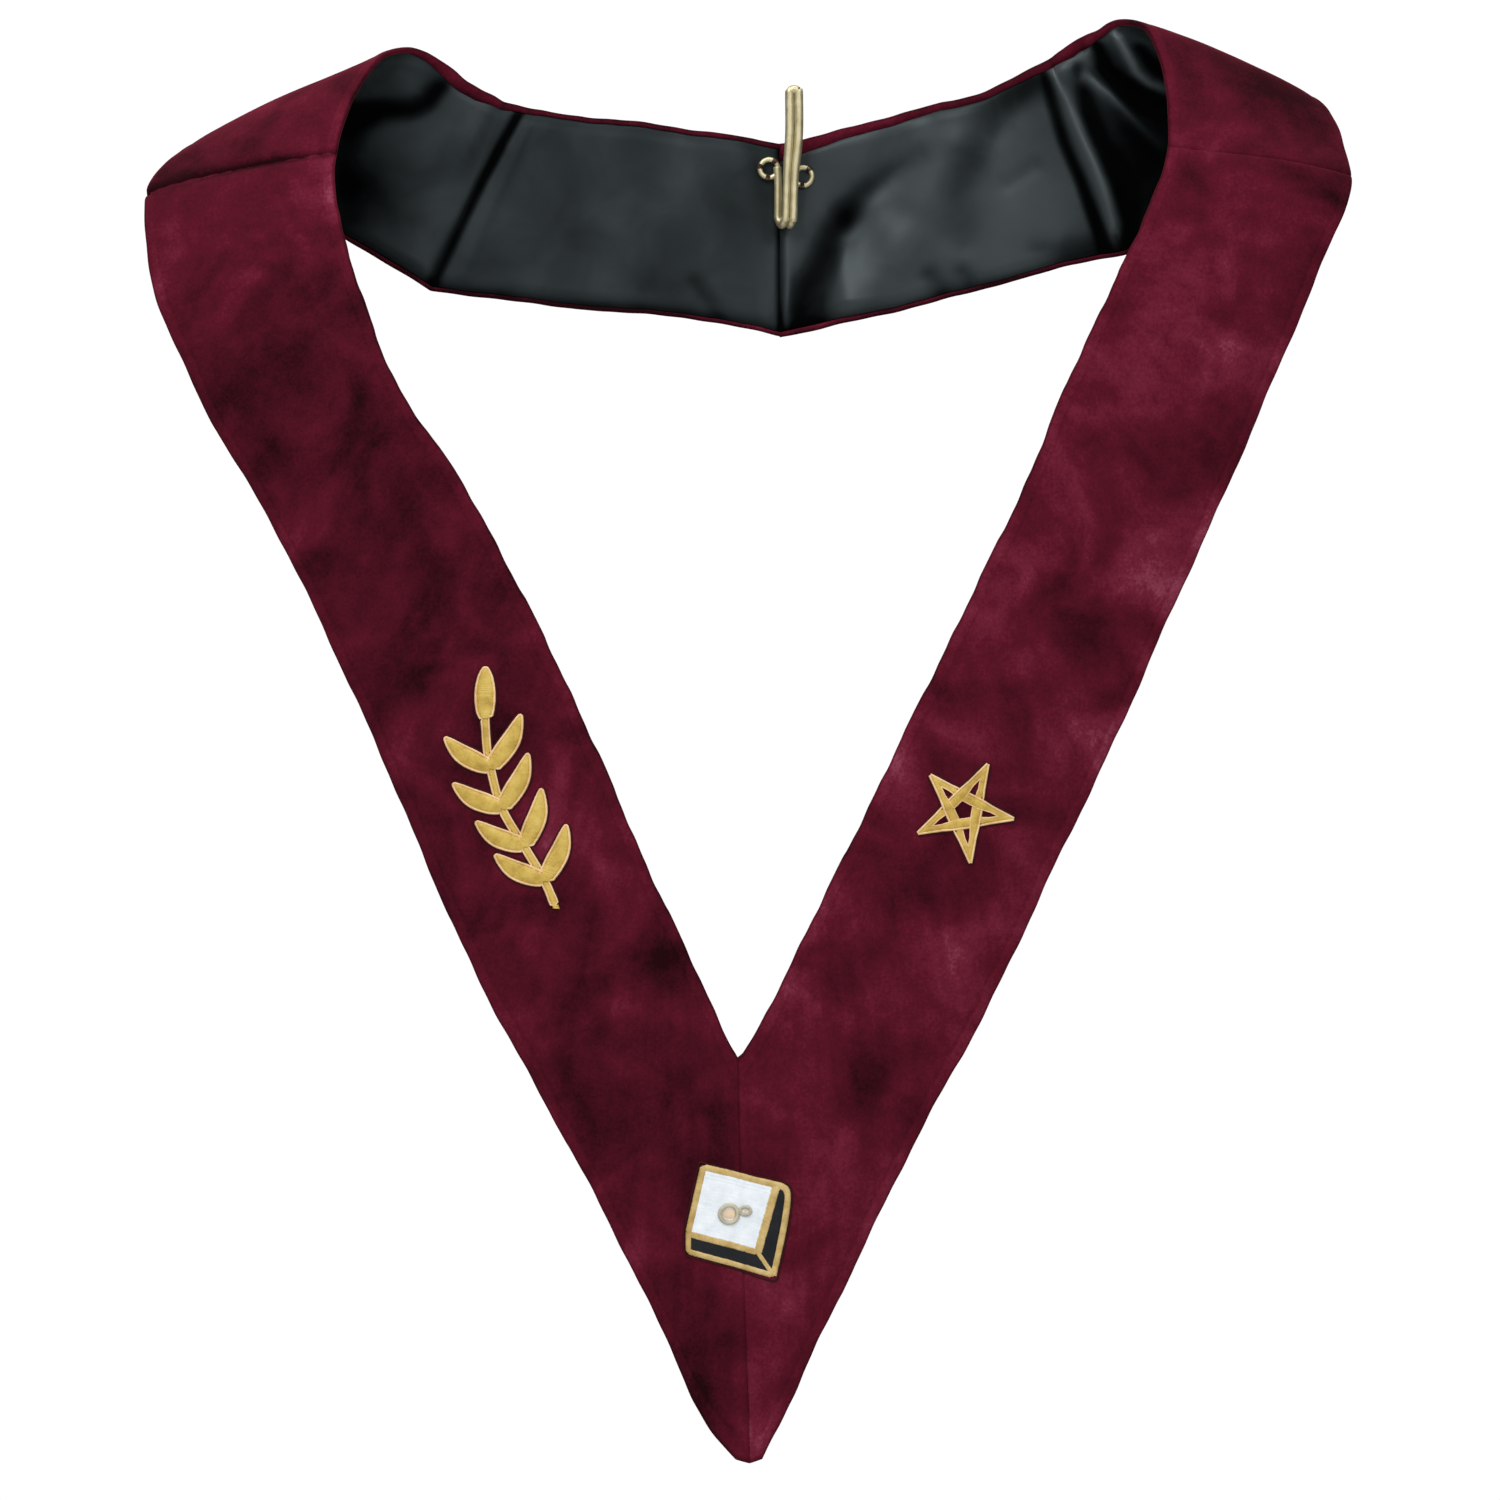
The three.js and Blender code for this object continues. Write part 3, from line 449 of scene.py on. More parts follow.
class Shade:
    """A material and short ways to add its nodes."""

    def __init__(self, name):
        self.material = bpy.data.materials.new(name)
        self.material.use_nodes = True
        self.tree = self.material.node_tree
        self.tree.nodes.clear()
        self.bsdf = self.node("ShaderNodeBsdfPrincipled")
        out = self.node("ShaderNodeOutputMaterial")
        self.tree.links.new(self.bsdf.outputs["BSDF"], out.inputs["Surface"])

    def node(self, kind, **facts):
        made = self.tree.nodes.new(kind)
        for key, value in facts.items():
            setattr(made, key, value)
        return made

    def put(self, socket, value):
        if isinstance(value, bpy.types.NodeSocket):
            self.tree.links.new(value, socket)
        elif value is not None:
            socket.default_value = value

    def set(self, **values):
        for key, value in values.items():
            self.put(self.bsdf.inputs[key.replace("_", " ")], value)

    def math(self, kind, a, b=None, c=None, clamp=False):
        n = self.node("ShaderNodeMath", operation=kind, use_clamp=clamp)
        for socket, value in zip(n.inputs, (a, b, c)):
            self.put(socket, value)
        return n.outputs[0]

    def place(self):
        return self.node("ShaderNodeTexCoord").outputs["Object"]

    def band(self):
        n = self.node("ShaderNodeAttribute", attribute_name="band", attribute_type="GEOMETRY")
        split = self.node("ShaderNodeSeparateXYZ")
        self.put(split.inputs[0], n.outputs["Vector"])
        return n.outputs["Vector"], *split.outputs

    def scaled(self, vector, scale):
        n = self.node("ShaderNodeMapping")
        self.put(n.inputs["Vector"], vector)
        n.inputs["Scale"].default_value = scale
        return n.outputs[0]

    def noise(self, vector, scale, detail=2.0, rough=0.5, bend=0.0):
        n = self.node("ShaderNodeTexNoise")
        self.put(n.inputs["Vector"], vector)
        for key, value in (("Scale", scale), ("Detail", detail), ("Roughness", rough), ("Distortion", bend)):
            n.inputs[key].default_value = value
        return n.outputs[0]

    def remap(self, value, low, high, to_low=0.0, to_high=1.0):
        n = self.node("ShaderNodeMapRange", interpolation_type="SMOOTHSTEP")
        for socket, v in zip(n.inputs, (value, low, high, to_low, to_high)):
            self.put(socket, v)
        return n.outputs[0]

    def ramp(self, value, *stops):
        n = self.node("ShaderNodeValToRGB")
        self.put(n.inputs[0], value)
        e = n.color_ramp.elements
        while len(e) < len(stops):
            e.new(0.5)
        for element, (at, colour) in zip(e, stops):
            element.position = at
            element.color = (*colour, 1)
        return n.outputs[0]

    def bump(self, height, strength, depth, normal=None):
        n = self.node("ShaderNodeBump")
        n.inputs["Strength"].default_value = strength
        n.inputs["Distance"].default_value = depth
        self.put(n.inputs["Height"], height)
        self.put(n.inputs["Normal"], normal)
        return n.outputs[0]


def velvet():
    """Cotton velvet: a short pile that lies in soft patches, lighter where it leans over, with painted light and shade
    laid over it, painted shade on the very fold of its turned edges, and stitch dimples at the edges.
    """
    m = Shade("crimson_velvet")
    place_, (vector, s, v, nap_and_shade) = m.place(), m.band()
    patches = m.noise(place_, 21, 3, 0.5, 0.6)
    blotches = m.noise(place_, 85, 4, 0.62, 0.4)
    streaks = m.noise(m.scaled(vector, (0.09, 0.035, 0)), 1.0, 3, 0.5, 0.3)
    grain = m.noise(place_, 620, 2, 0.7)
    pile_and_shade = m.math("MULTIPLY_ADD", patches, 1.5, -0.37)
    pile_and_shade = m.math("MULTIPLY_ADD", blotches, 0.34, pile_and_shade)
    pile_and_shade = m.math("MULTIPLY_ADD", streaks, 0.3, pile_and_shade)
    pile_and_shade = m.math("MULTIPLY_ADD", grain, 0.46, pile_and_shade)
    pile_and_shade = m.math("SUBTRACT", pile_and_shade, 0.46)
    rim = m.math("MINIMUM", v, m.math("SUBTRACT", 100.0, v))
    # the line of stitches, with a dimple every four millimetres or so
    jitter = m.noise(m.scaled(vector, (0.05, 0.0, 0)), 8.0, 2, 0.6)
    phase = m.math("MULTIPLY_ADD", jitter, 9.0, m.math("MULTIPLY", s, 1.45))
    dimple = m.math("MULTIPLY_ADD", m.math("SINE", phase), 0.5, 0.5)
    near = m.remap(m.math("ABSOLUTE", m.math("SUBTRACT", rim, 6.6)), 0.25, 1.3, 1.0, 0.0)
    front = m.remap(s, 585.0, 600.0, 1.0, 0.0)
    stitch = m.math("MULTIPLY", m.math("MULTIPLY", near, front), m.math("MULTIPLY_ADD", dimple, 0.75, 0.25))
    # the turned edge: a touch redder inside the stitches, and dark on the very fold, partly where the pile parts and
    # partly painted shade where the edge turns away
    fold = m.remap(rim, 0.1, 1.7, 1.0, 0.0)
    # add the table's tone: nap patches with painted light and shade
    pile_and_shade = m.math("ADD", pile_and_shade, nap_and_shade)
    # the stitch line is painted a touch darker: painted shade in its dimples
    pile_and_shade = m.math("MULTIPLY_ADD", stitch, -0.05, pile_and_shade)
    pile_and_shade = m.math("MULTIPLY_ADD", m.remap(rim, 5.2, 6.2, 0.06, 0.0), 1.0, pile_and_shade)
    pile_and_shade = m.math("MULTIPLY_ADD", fold, -0.34, pile_and_shade, clamp=True)
    colour = m.ramp(
        pile_and_shade,
        (0.0, (0.012, 0.0007, 0.0022)),
        (0.3, (0.047, 0.0028, 0.0086)),
        (0.55, (0.080, 0.0047, 0.0140)),
        (0.8, (0.126, 0.0118, 0.0285)),
        (1.0, (0.200, 0.037, 0.066)),
    )
    pile = m.bump(m.noise(place_, 1500, 2, 0.6), 0.35, 0.0004)
    lie = m.bump(m.noise(place_, 210, 3, 0.6, 0.5), 0.3, 0.0012, pile)
    dent = m.bump(stitch, 0.2, -0.0004, lie)
    m.set(Base_Color=colour, Normal=dent)
    m.bsdf.inputs["Roughness"].default_value = 0.92
    m.bsdf.inputs["Specular IOR Level"].default_value = 0.06
    m.bsdf.inputs["Sheen Weight"].default_value = 0.26
    m.bsdf.inputs["Sheen Roughness"].default_value = 0.42
    m.bsdf.inputs["Sheen Tint"].default_value = (0.85, 0.09, 0.17, 1)
    return m.material


def satin():
    """Black polyester satin: floats along the band, soft broad gloss, with painted light and shade: its colour and
    reflection painted near black in its hollows and lighter on its ridges.
    """
    m = Shade("black_satin")
    place_, (vector, s, v, light) = m.place(), m.band()
    cloud = m.noise(place_, 30, 3, 0.5, 0.6)
    thread = m.noise(m.scaled(vector, (0.6, 9.0, 0)), 1.0, 2, 0.6)
    crease = m.noise(m.scaled(vector, (0.05, 0.03, 0)), 1.0, 2, 0.5, 0.3)
    # share: the satin's painted light and shade, with soft clouds and threads over it
    share = m.math("MULTIPLY_ADD", m.math("SUBTRACT", cloud, 0.5), 0.3, light)
    share = m.math("MULTIPLY_ADD", m.math("SUBTRACT", thread, 0.5), 0.06, share)
    colour = m.ramp(
        share,
        (0.0, (0.0005, 0.0006, 0.0007)),
        (0.2, (0.0016, 0.0021, 0.0023)),
        (0.42, (0.0085, 0.0112, 0.0122)),
        (0.6, (0.021, 0.0262, 0.0280)),
        (0.8, (0.036, 0.043, 0.045)),
        (1.0, (0.060, 0.069, 0.071)),
    )
    # the reflection too is painted dark in the hollows: painted shade
    painted_reflection_shade = m.ramp(share, (0.04, (0.01, 0.012, 0.012)), (0.3, (0.36, 0.43, 0.45)), (0.6, (0.85, 0.97, 1.0)))
    soft = m.bump(crease, 0.2, 0.001, m.bump(thread, 0.16, 0.00016))
    rough = m.remap(share, 0.05, 0.6, 0.72, 0.48)
    m.set(Base_Color=colour, Normal=soft, Roughness=rough, Specular_Tint=painted_reflection_shade)
    m.bsdf.inputs["Specular IOR Level"].default_value = 0.34
    m.bsdf.inputs["Sheen Weight"].default_value = 0.0
    return m.material


def thread_material(name, dark, middle, light, rough, metal=0.0, gloss=0.5, sheen=0.15):
    m = Shade(name)
    place_ = m.place()
    cloud, fibre = m.noise(place_, 140, 3, 0.6), m.noise(place_, 2600, 2, 0.7)
    mixed = m.math("MULTIPLY_ADD", m.math("SUBTRACT", fibre, 0.5), 0.7, cloud)
    colour = m.ramp(mixed, (0.2, dark), (0.5, middle), (0.8, light))
    m.set(Base_Color=colour, Normal=m.bump(fibre, 0.4, 0.00012), Roughness=m.remap(cloud, 0.3, 0.7, rough - 0.05, rough + 0.07))
    m.bsdf.inputs["Metallic"].default_value = metal
    m.bsdf.inputs["Specular IOR Level"].default_value = gloss
    m.bsdf.inputs["Sheen Weight"].default_value = sheen
    return m.material


def gilt():
    m = Shade("gilt_wire")
    place_ = m.place()
    cloud, scuff = m.noise(place_, 160, 4, 0.6), m.noise(m.scaled(place_, (2200, 2200, 240)), 1.0, 2, 0.6)
    colour = m.ramp(cloud, (0.25, (0.47, 0.41, 0.24)), (0.5, (0.55, 0.49, 0.3)), (0.8, (0.62, 0.57, 0.39)))
    m.set(Base_Color=colour, Normal=m.bump(scuff, 0.1, 0.00008), Roughness=m.remap(m.math("ADD", cloud, m.math("MULTIPLY", scuff, 0.3)), 0.3, 0.95, 0.38, 0.52))
    m.bsdf.inputs["Metallic"].default_value = 0.85
    return m.material


VELVET_CLOTH, SATIN_CLOTH, GILT = velvet(), satin(), gilt()
GOLD = thread_material("gold_thread", (0.32, 0.195, 0.028), (0.52, 0.35, 0.06), (0.64, 0.475, 0.13), 0.45, 0.1, 0.35, 0.03)
PALE_GOLD = thread_material("pale_gold_thread", (0.52, 0.31, 0.13), (0.73, 0.46, 0.225), (0.84, 0.61, 0.36), 0.5, 0.0, 0.35, 0.05)
STONE_GOLD = thread_material("stone_gold_thread", (0.33, 0.205, 0.05), (0.52, 0.365, 0.13), (0.66, 0.51, 0.25), 0.45, 0.08, 0.35, 0.04)
TAN = thread_material("tan_thread", (0.34, 0.31, 0.22), (0.47, 0.44, 0.33), (0.58, 0.55, 0.43), 0.5, 0.0, 0.35, 0.04)
PEACH = thread_material("peach_thread", (0.6, 0.43, 0.28), (0.72, 0.54, 0.37), (0.8, 0.64, 0.48), 0.5, 0.0, 0.35, 0.04)
# a dark maroon thread for the painted shadow round the embroidery
SHADOW_THREAD = thread_material("painted_shadow_thread", (0.014, 0.001, 0.0014), (0.028, 0.0022, 0.003), (0.045, 0.005, 0.006), 0.7, 0.0, 0.15, 0.0)
BROWN = thread_material("brown_thread", (0.012, 0.004, 0.003), (0.03, 0.01, 0.007), (0.06, 0.022, 0.014), 0.6, 0.0, 0.25, 0.02)
WHITE = thread_material("white_thread", (0.62, 0.67, 0.7), (0.74, 0.79, 0.83), (0.84, 0.88, 0.9), 0.45)
BLACK = thread_material("black_thread", (0.003, 0.0035, 0.0045), (0.005, 0.006, 0.008), (0.011, 0.013, 0.017), 0.5, 0.0, 0.2, 0.02)

# ---------------------------------------------------------------- velvet and satin panels

FRONT_FACE = HALF_GAP + VELVET
ROLL = 1.45  # radius of the turned edge
PANELS = [
    ("front", "point", "shoulder_seam", 2.2, 1.9),
    ("shoulder", "shoulder_seam", "neck_seam", 1.9, 1.3),
    ("back", "neck_seam", "centre_back", 1.9, 1.3),
]
# How wide the velvet's turned-in edge shows beside the satin: side, which edge, then section and width in mm
HEMS = [
    ("left", 0, [(0, 3.0), (15, 3.0), (15.8, 4.6), (16.4, 6.4), (17.2, 6.2), (17.8, 4.6), (18.3, 3.2), (19, 2.5), (22, 2.7)]),
    ("left", 1, [(0, 3.0), (15, 2.6), (18, 2.1), (22, 2.1)]),
    ("right", 0, [(0, 3.0), (15, 3.2), (15.8, 4.2), (16.5, 5.8), (17.3, 6.2), (17.9, 4.6), (18.6, 3.8), (20, 4.2), (21, 5.2), (21.6, 7.0), (22, 9.0)]),
    ("right", 1, [(0, 3.0), (15, 2.4), (18, 2.1), (21.3, 2.4), (22, 3.0)]),
]


def hem(half, s, edge):
    for side, which, line in HEMS:
        if (side, which) == (half.side, edge):
            return np.interp(s, [half.at(i) for i, _ in line], [w for _, w in line])[:, None]


# Where the velvet is painted lighter or darker, partly as its nap lies and partly painted light and shade: side,
# section, share of the width, reach along and across in mm, tone
NAP_AND_SHADE = [
    # the right half painted lighter than the left: the nap's lie and painted light together
    ("left", 0, 0.5, 4000, 4000, -0.09),
    ("right", 0, 0.5, 4000, 4000, 0.08),
    ("left", 0, 0.5, 9, 400, 0.08),
    ("right", 0, 0.5, 9, 400, -0.08),
    # painted light on the left shoulder, where the light falls from the left
    ("left", 10.1, 0.55, 34, 75, 0.24),
    ("left", 11.5, 0.6, 16, 60, -0.1),
    ("left", 12.8, 0.35, 22, 40, 0.14),
    ("left", 12.2, 0.95, 16, 26, -0.26),
    # painted sheen along the inner edge at the left shoulder
    ("left", 10.8, 0.04, 52, 6, 0.12),
    ("left", 8.7, 0.45, 34, 60, -0.27),
    ("left", 7.5, 0.16, 42, 26, -0.26),
    # painted shadow just above the left shoulder seam
    ("left", 11.2, 0.8, 5, 28, -0.42),
    ("left", 13.3, 0.12, 22, 16, -0.16),
    ("left", 9.2, 0.5, 22, 34, -0.1),
    ("left", 7.4, 0.46, 26, 26, -0.1),
    ("left", 4.3, 0.56, 22, 26, -0.1),
    ("left", 5.2, 0.62, 34, 40, 0.06),
    ("left", 3.6, 0.12, 44, 22, -0.37),
    ("left", 2.5, 0.88, 26, 20, -0.14),
    ("left", 12.9, 0.4, 20, 18, 0.16),
    ("left", 1.8, 0.6, 46, 60, -0.08),
    ("right", 10.0, 0.45, 40, 60, -0.05),
    # painted shade on the right shoulder, away from the light
    ("right", 12.6, 0.6, 50, 80, -0.2),
    ("right", 12.0, 0.92, 40, 24, -0.28),
    ("right", 11.2, 0.62, 18, 16, 0.2),
    ("right", 11.5, 0.1, 22, 14, -0.12),
    ("right", 13.5, 0.2, 20, 46, -0.26),
    # painted sheen along the inner edge at the right shoulder
    ("right", 11.4, 0.04, 52, 6, 0.14),
    ("right", 7.0, 0.85, 34, 24, 0.1),
    ("right", 6.0, 0.15, 40, 30, 0.06),
    ("right", 5.2, 0.15, 30, 26, -0.16),
    ("right", 8.0, 0.12, 26, 20, -0.14),
    ("right", 8.9, 0.12, 20, 20, 0.1),
    ("right", 6.9, 0.54, 30, 22, -0.12),
    ("right", 6.2, 0.6, 26, 26, -0.15),
    ("right", 5.0, 0.6, 30, 30, 0.05),
    ("right", 4.0, 0.15, 30, 24, 0.1),
    ("right", 2.1, 0.6, 24, 22, -0.22),
    ("right", 3.0, 0.86, 24, 20, -0.14),
    ("right", 0.9, 0.9, 26, 26, 0.16),
    ("right", 0.25, 0.14, 5, 9, 0.14),
    ("right", 0.2, 0.75, 7, 20, 0.1),
    ("left", 0.0, 0.97, 9, 14, 0.2),
    ("right", 0.0, 0.97, 9, 14, 0.16),
    # painted shade along the edges of the back bands, inside the collar
    ("left", 20.0, 0.0, 95, 14, -0.2),
    ("left", 19.0, 1.0, 110, 14, -0.4),
    ("right", 19.6, 1.0, 110, 14, -0.42),
    ("right", 18.6, 0.0, 30, 14, -0.16),
]


# the velvet's tone: nap patches and painted light and shade from the table, and painted shade along the seams
def nap_and_shade(half, s, v):
    total = np.zeros(np.shape(s))
    for side, section, share, along, across, value in NAP_AND_SHADE:
        if side == half.side:
            far = ((s - half.at(section)) / along) ** 2 + ((v - share * BAND) / across) ** 2
            total += value * np.exp(-far)
    # painted shade along the seams
    for side, name, _, width, value in SEAMS:
        if side == half.side:
            total += value * np.exp(-(((s - half.section(name)) / (0.75 * width)) ** 2))
    return total


def stations(half, start, stop, step, over=0.12):
    a, b = half.section(start) - over, half.section(stop) + over  # neighbours meet in the seam
    marks = [a] + [x for x in half.s if a + 0.5 < x < b - 0.5 and x in (half.section("point_corner"), half.section("point_side"))] + [b]
    out = [np.array([a])]
    for p, q in zip(marks, marks[1:]):
        n = max(2, int(round((q - p) / step)))
        out.append(p + (q - p) * np.arange(1, n + 1) / n)
    s = np.concatenate(out)
    # closer together at the two ends, where the seams are
    ends = np.array([0.5, 1.0, 1.6, 2.4, 3.4])
    return np.unique(np.round(np.concatenate([s, a + ends, b - ends]), 4))


def velvet_panel(half, part, start, stop, step):
    s = stations(half, start, stop, step)
    angle = np.linspace(-90, 90, 9)[:-1] * math.pi / 180
    roll_v, roll_d = ROLL * (1 - np.cos(angle)), HALF_GAP + VELVET - ROLL + ROLL * np.sin(angle)
    near = np.array([1.45, 2.2, 3.1, 4.1, 5.0, 5.7, 6.2, 6.6, 7.0, 7.5, 8.2, 9.3, 10.8, 12.6])
    middle = np.linspace(14.8, BAND - 14.8, 31)
    face = np.concatenate([near, middle, BAND - near[::-1]])
    v = np.concatenate([[0], roll_v, face, BAND - roll_v[::-1], [BAND]])
    d = np.concatenate([[roll_d[0]], roll_d, np.full(len(face), FRONT_FACE), roll_d[::-1], [roll_d[0]]])
    on_face = np.concatenate([[0], (1 + np.sin(angle)) / 2, np.ones(len(face)), ((1 + np.sin(angle)) / 2)[::-1], [0]])
    side = len(roll_v) + 1
    inner, outer = hem(half, s, 0), BAND - hem(half, s, 1)
    S, V = np.meshgrid(s, v, indexing="ij")
    V[:, :1], V[:, -1:] = inner, outer
    D = d[None, :] + on_face[None, :] * skin(half, S, V)
    ends = np.minimum(S - s[0], s[-1] - S)
    D = D - on_face[None, :] * 0.5 * np.exp(-((ends / 0.7) ** 2))
    tuck, across = np.linspace(0, 0.4, side)[None, :], np.linspace(0, 1, len(face))[None, :]
    low_V = np.concatenate([inner + tuck, inner + 0.5 + (outer - inner - 1.0) * across, outer - tuck[:, ::-1]], axis=1)
    low_S = np.repeat(s[:, None], low_V.shape[1], axis=1)
    top, low = place(half, S, V, D), place(half, low_S, low_V, np.full(low_S.shape, HALF_GAP))
    points, faces = join_grids(top, low)
    # the band attribute carries the velvet's nap patches with their painted light and shade
    band = np.concatenate(
        [np.stack([S, V, nap_and_shade(half, S, V)], -1).reshape(-1, 3), np.stack([low_S, low_V, np.full(low_S.shape, -0.1)], -1).reshape(-1, 3)]
    )
    return build(f"velvet_{part}_{half.side}_cloth", points, faces, VELVET_CLOTH, "velvet", [f"velvet_{part}_{half.side}"], band=band)


def satin_panel(half, part, start, stop, step):
    s = stations(half, start, stop, step, 0.0)
    inner, outer = hem(half, s, 0) + 0.15, BAND - hem(half, s, 1) - 0.15
    near = np.array([[0, 0.25, 0.7, 1.4]])
    columns = 34 if part == "front" else 66
    V = np.concatenate([inner + near, inner + 2.6 + (outer - inner - 5.2) * np.linspace(0, 1, columns)[None, :], outer - near[:, ::-1]], axis=1)
    S = np.repeat(s[:, None], V.shape[1], axis=1)
    rim = np.minimum(V - inner, outer - V)
    pillow = 0.85 * np.clip(rim / 1.4, 0, 1) ** 0.5
    # the satin runs on over the neck seam, and is drawn in at the others
    ends = np.minimum(np.where(start == "neck_seam", 99, S - s[0]), np.where(stop == "neck_seam", 99, s[-1] - S))
    # light here is the satin's painted light and shade
    lift, light = satin_folds(half, S, V)
    D = -(0.25 + np.maximum(pillow - 0.75 * np.exp(-((ends / 1.1) ** 2)), 0.05) + lift * (1 - np.exp(-((ends / 2.0) ** 2))))
    D = np.minimum(D, -0.2)
    face, low = place(half, S, V, D), place(half, S, V, np.full(S.shape, -0.05))
    points, faces = join_grids(face, low)
    band = np.concatenate([np.stack([S, V, light], -1).reshape(-1, 3), np.stack([S, V, 0 * S], -1).reshape(-1, 3)])
    m, n = S.shape
    ends = [np.arange(n), np.arange((m - 1) * n, m * n)]
    return build(f"lining_{part}_{half.side}_cloth", points, faces, SATIN_CLOTH, "satin", [f"lining_{part}_{half.side}"], sharp=ends, band=band)


# Flat cut of each panel in metres: velvet with what is turned in at its edges, satin as it shows. Width and length.
CUTS = {"front": (0.106, 0.70, 0.62), "shoulder": (0.106, 0.19, 0.168), "back": (0.106, 0.19, 0.158)}
for half in (left, right):
    for part, start, stop, coarse, fine in PANELS:
        cloth = velvet_panel(half, part, start, stop, coarse)
        inner = satin_panel(half, part, start, stop, fine)
        width, long, mean = CUTS[part]

# ---------------------------------------------------------------- embroidery


class Ground:
    """The velvet face under an emblem, as a fine grid over x and z, so that threads can be laid on it."""

    def __init__(self, x0, x1, z0, z1, step=1.5):
        self.x0, self.z0, self.step = x0, z0, step
        x, z = np.arange(x0, x1 + step, step), np.arange(z0, z1 + step, step)
        X, Z = np.meshgrid(x, z, indexing="ij")
        seam = -22 + (Z + 423) / -206 * 6
        self.points, self.faces = np.zeros((*X.shape, 3)), np.zeros((*X.shape, 3))
        for half, here in ((left, X < seam), (right, X >= seam)):
            if here.any():
                s, u = half.find(X[here], Z[here])
                n = half.facing(s, u)
                height = FRONT_FACE + skin(half, np.abs(s), np.clip(u, 0, 1) * BAND)
                self.points[here] = half.point(s, u) + n * height[:, None]
                self.faces[here] = n

    def lay(self, x, z, height):
        """Points at x, z, standing the given height off the velvet."""
        i, j = (x - self.x0) / self.step, (z - self.z0) / self.step
        i = np.clip(i, 0, self.points.shape[0] - 1.001)
        j = np.clip(j, 0, self.points.shape[1] - 1.001)
        a, b = np.floor(i).astype(int), np.floor(j).astype(int)
        p, q = (i - a)[..., None], (j - b)[..., None]
        out = []
        for g in (self.points, self.faces):
            out.append(g[a, b] * (1 - p) * (1 - q) + g[a + 1, b] * p * (1 - q) + g[a, b + 1] * (1 - p) * q + g[a + 1, b + 1] * p * q)
        return out[0] + out[1] * np.asarray(height)[..., None]


chance = np.random.default_rng(7)
THREAD = 0.52  # one stitch to the next, mm
STEPS = 4  # points along the run for each stitch


def smooth_line(points, count):
    """Evenly spaced points on a smooth curve through the given ones."""
    p = np.array(points, float)
    ext = np.vstack([2 * p[0] - p[1], p, 2 * p[-1] - p[-2]])
    fine = []
    for k in range(1, len(ext) - 2):
        t = np.linspace(0, 1, 24, endpoint=False)[:, None]
        a, b, c, d = ext[k - 1 : k + 3]
        fine.append(0.5 * (2 * b + (c - a) * t + (2 * a - 5 * b + 4 * c - d) * t**2 + (3 * b - a - 3 * c + d) * t**3))
    fine = np.vstack(fine + [p[-1:]])
    run = np.concatenate([[0], np.cumsum(np.linalg.norm(np.diff(fine, axis=0), axis=1))])
    want = np.linspace(0, run[-1], count)
    return np.stack([np.interp(want, run, fine[:, k]) for k in range(fine.shape[1])], -1)


def length_of(points):
    p = np.array(points, float)
    return float(np.linalg.norm(np.diff(p, axis=0), axis=1).sum())


def stitched(ground, line, width, high=1.15, low=0.1, slant=0.35, lift=0.0, across=9, power=2.2):
    """Satin stitch: threads side by side across a run. width(share) is the half width, lift a height or a function."""
    count = max(12, int(length_of(line) / THREAD) * STEPS + 1)
    c = smooth_line(line, count)
    share = np.linspace(0, 1, count)
    tangent = np.gradient(c, axis=0)
    tangent /= np.linalg.norm(tangent, axis=1, keepdims=True)
    side = np.stack([-tangent[:, 1], tangent[:, 0]], -1)
    half_width = np.maximum(width(share), 0.12)
    number = (np.arange(count) // STEPS).astype(int)
    loose = chance.normal(0, 1, number.max() + 1)[number]
    tight = chance.normal(0, 1, number.max() + 1)[number]
    phase = (np.arange(count) % STEPS) / STEPS
    ridge = np.sin(math.pi * (phase + 0.5 / STEPS))
    k = np.linspace(-1, 1, across)
    k = np.sign(k) * np.abs(k) ** 0.85
    reach = half_width * (1 + 0.025 * loose)
    x = c[:, 0:1] + side[:, 0:1] * reach[:, None] * k + tangent[:, 0:1] * slant * half_width[:, None] * k
    z = c[:, 1:2] + side[:, 1:2] * reach[:, None] * k + tangent[:, 1:2] * slant * half_width[:, None] * k
    dome = (1 - np.abs(k[None, :]) ** power) ** 0.6
    scale = np.clip(half_width / 2.2, 0.45, 1)[:, None]
    raise_by = lift(share) if callable(lift) else np.full(count, lift)
    h = low + raise_by[:, None] + (high - low) * dome * scale + dome**0.4 * (0.15 * ridge + 0.025 * tight)[:, None]
    top, bottom = ground.lay(x, z, h), ground.lay(x, z, np.full(h.shape, -0.12))
    return join_grids(top, bottom)


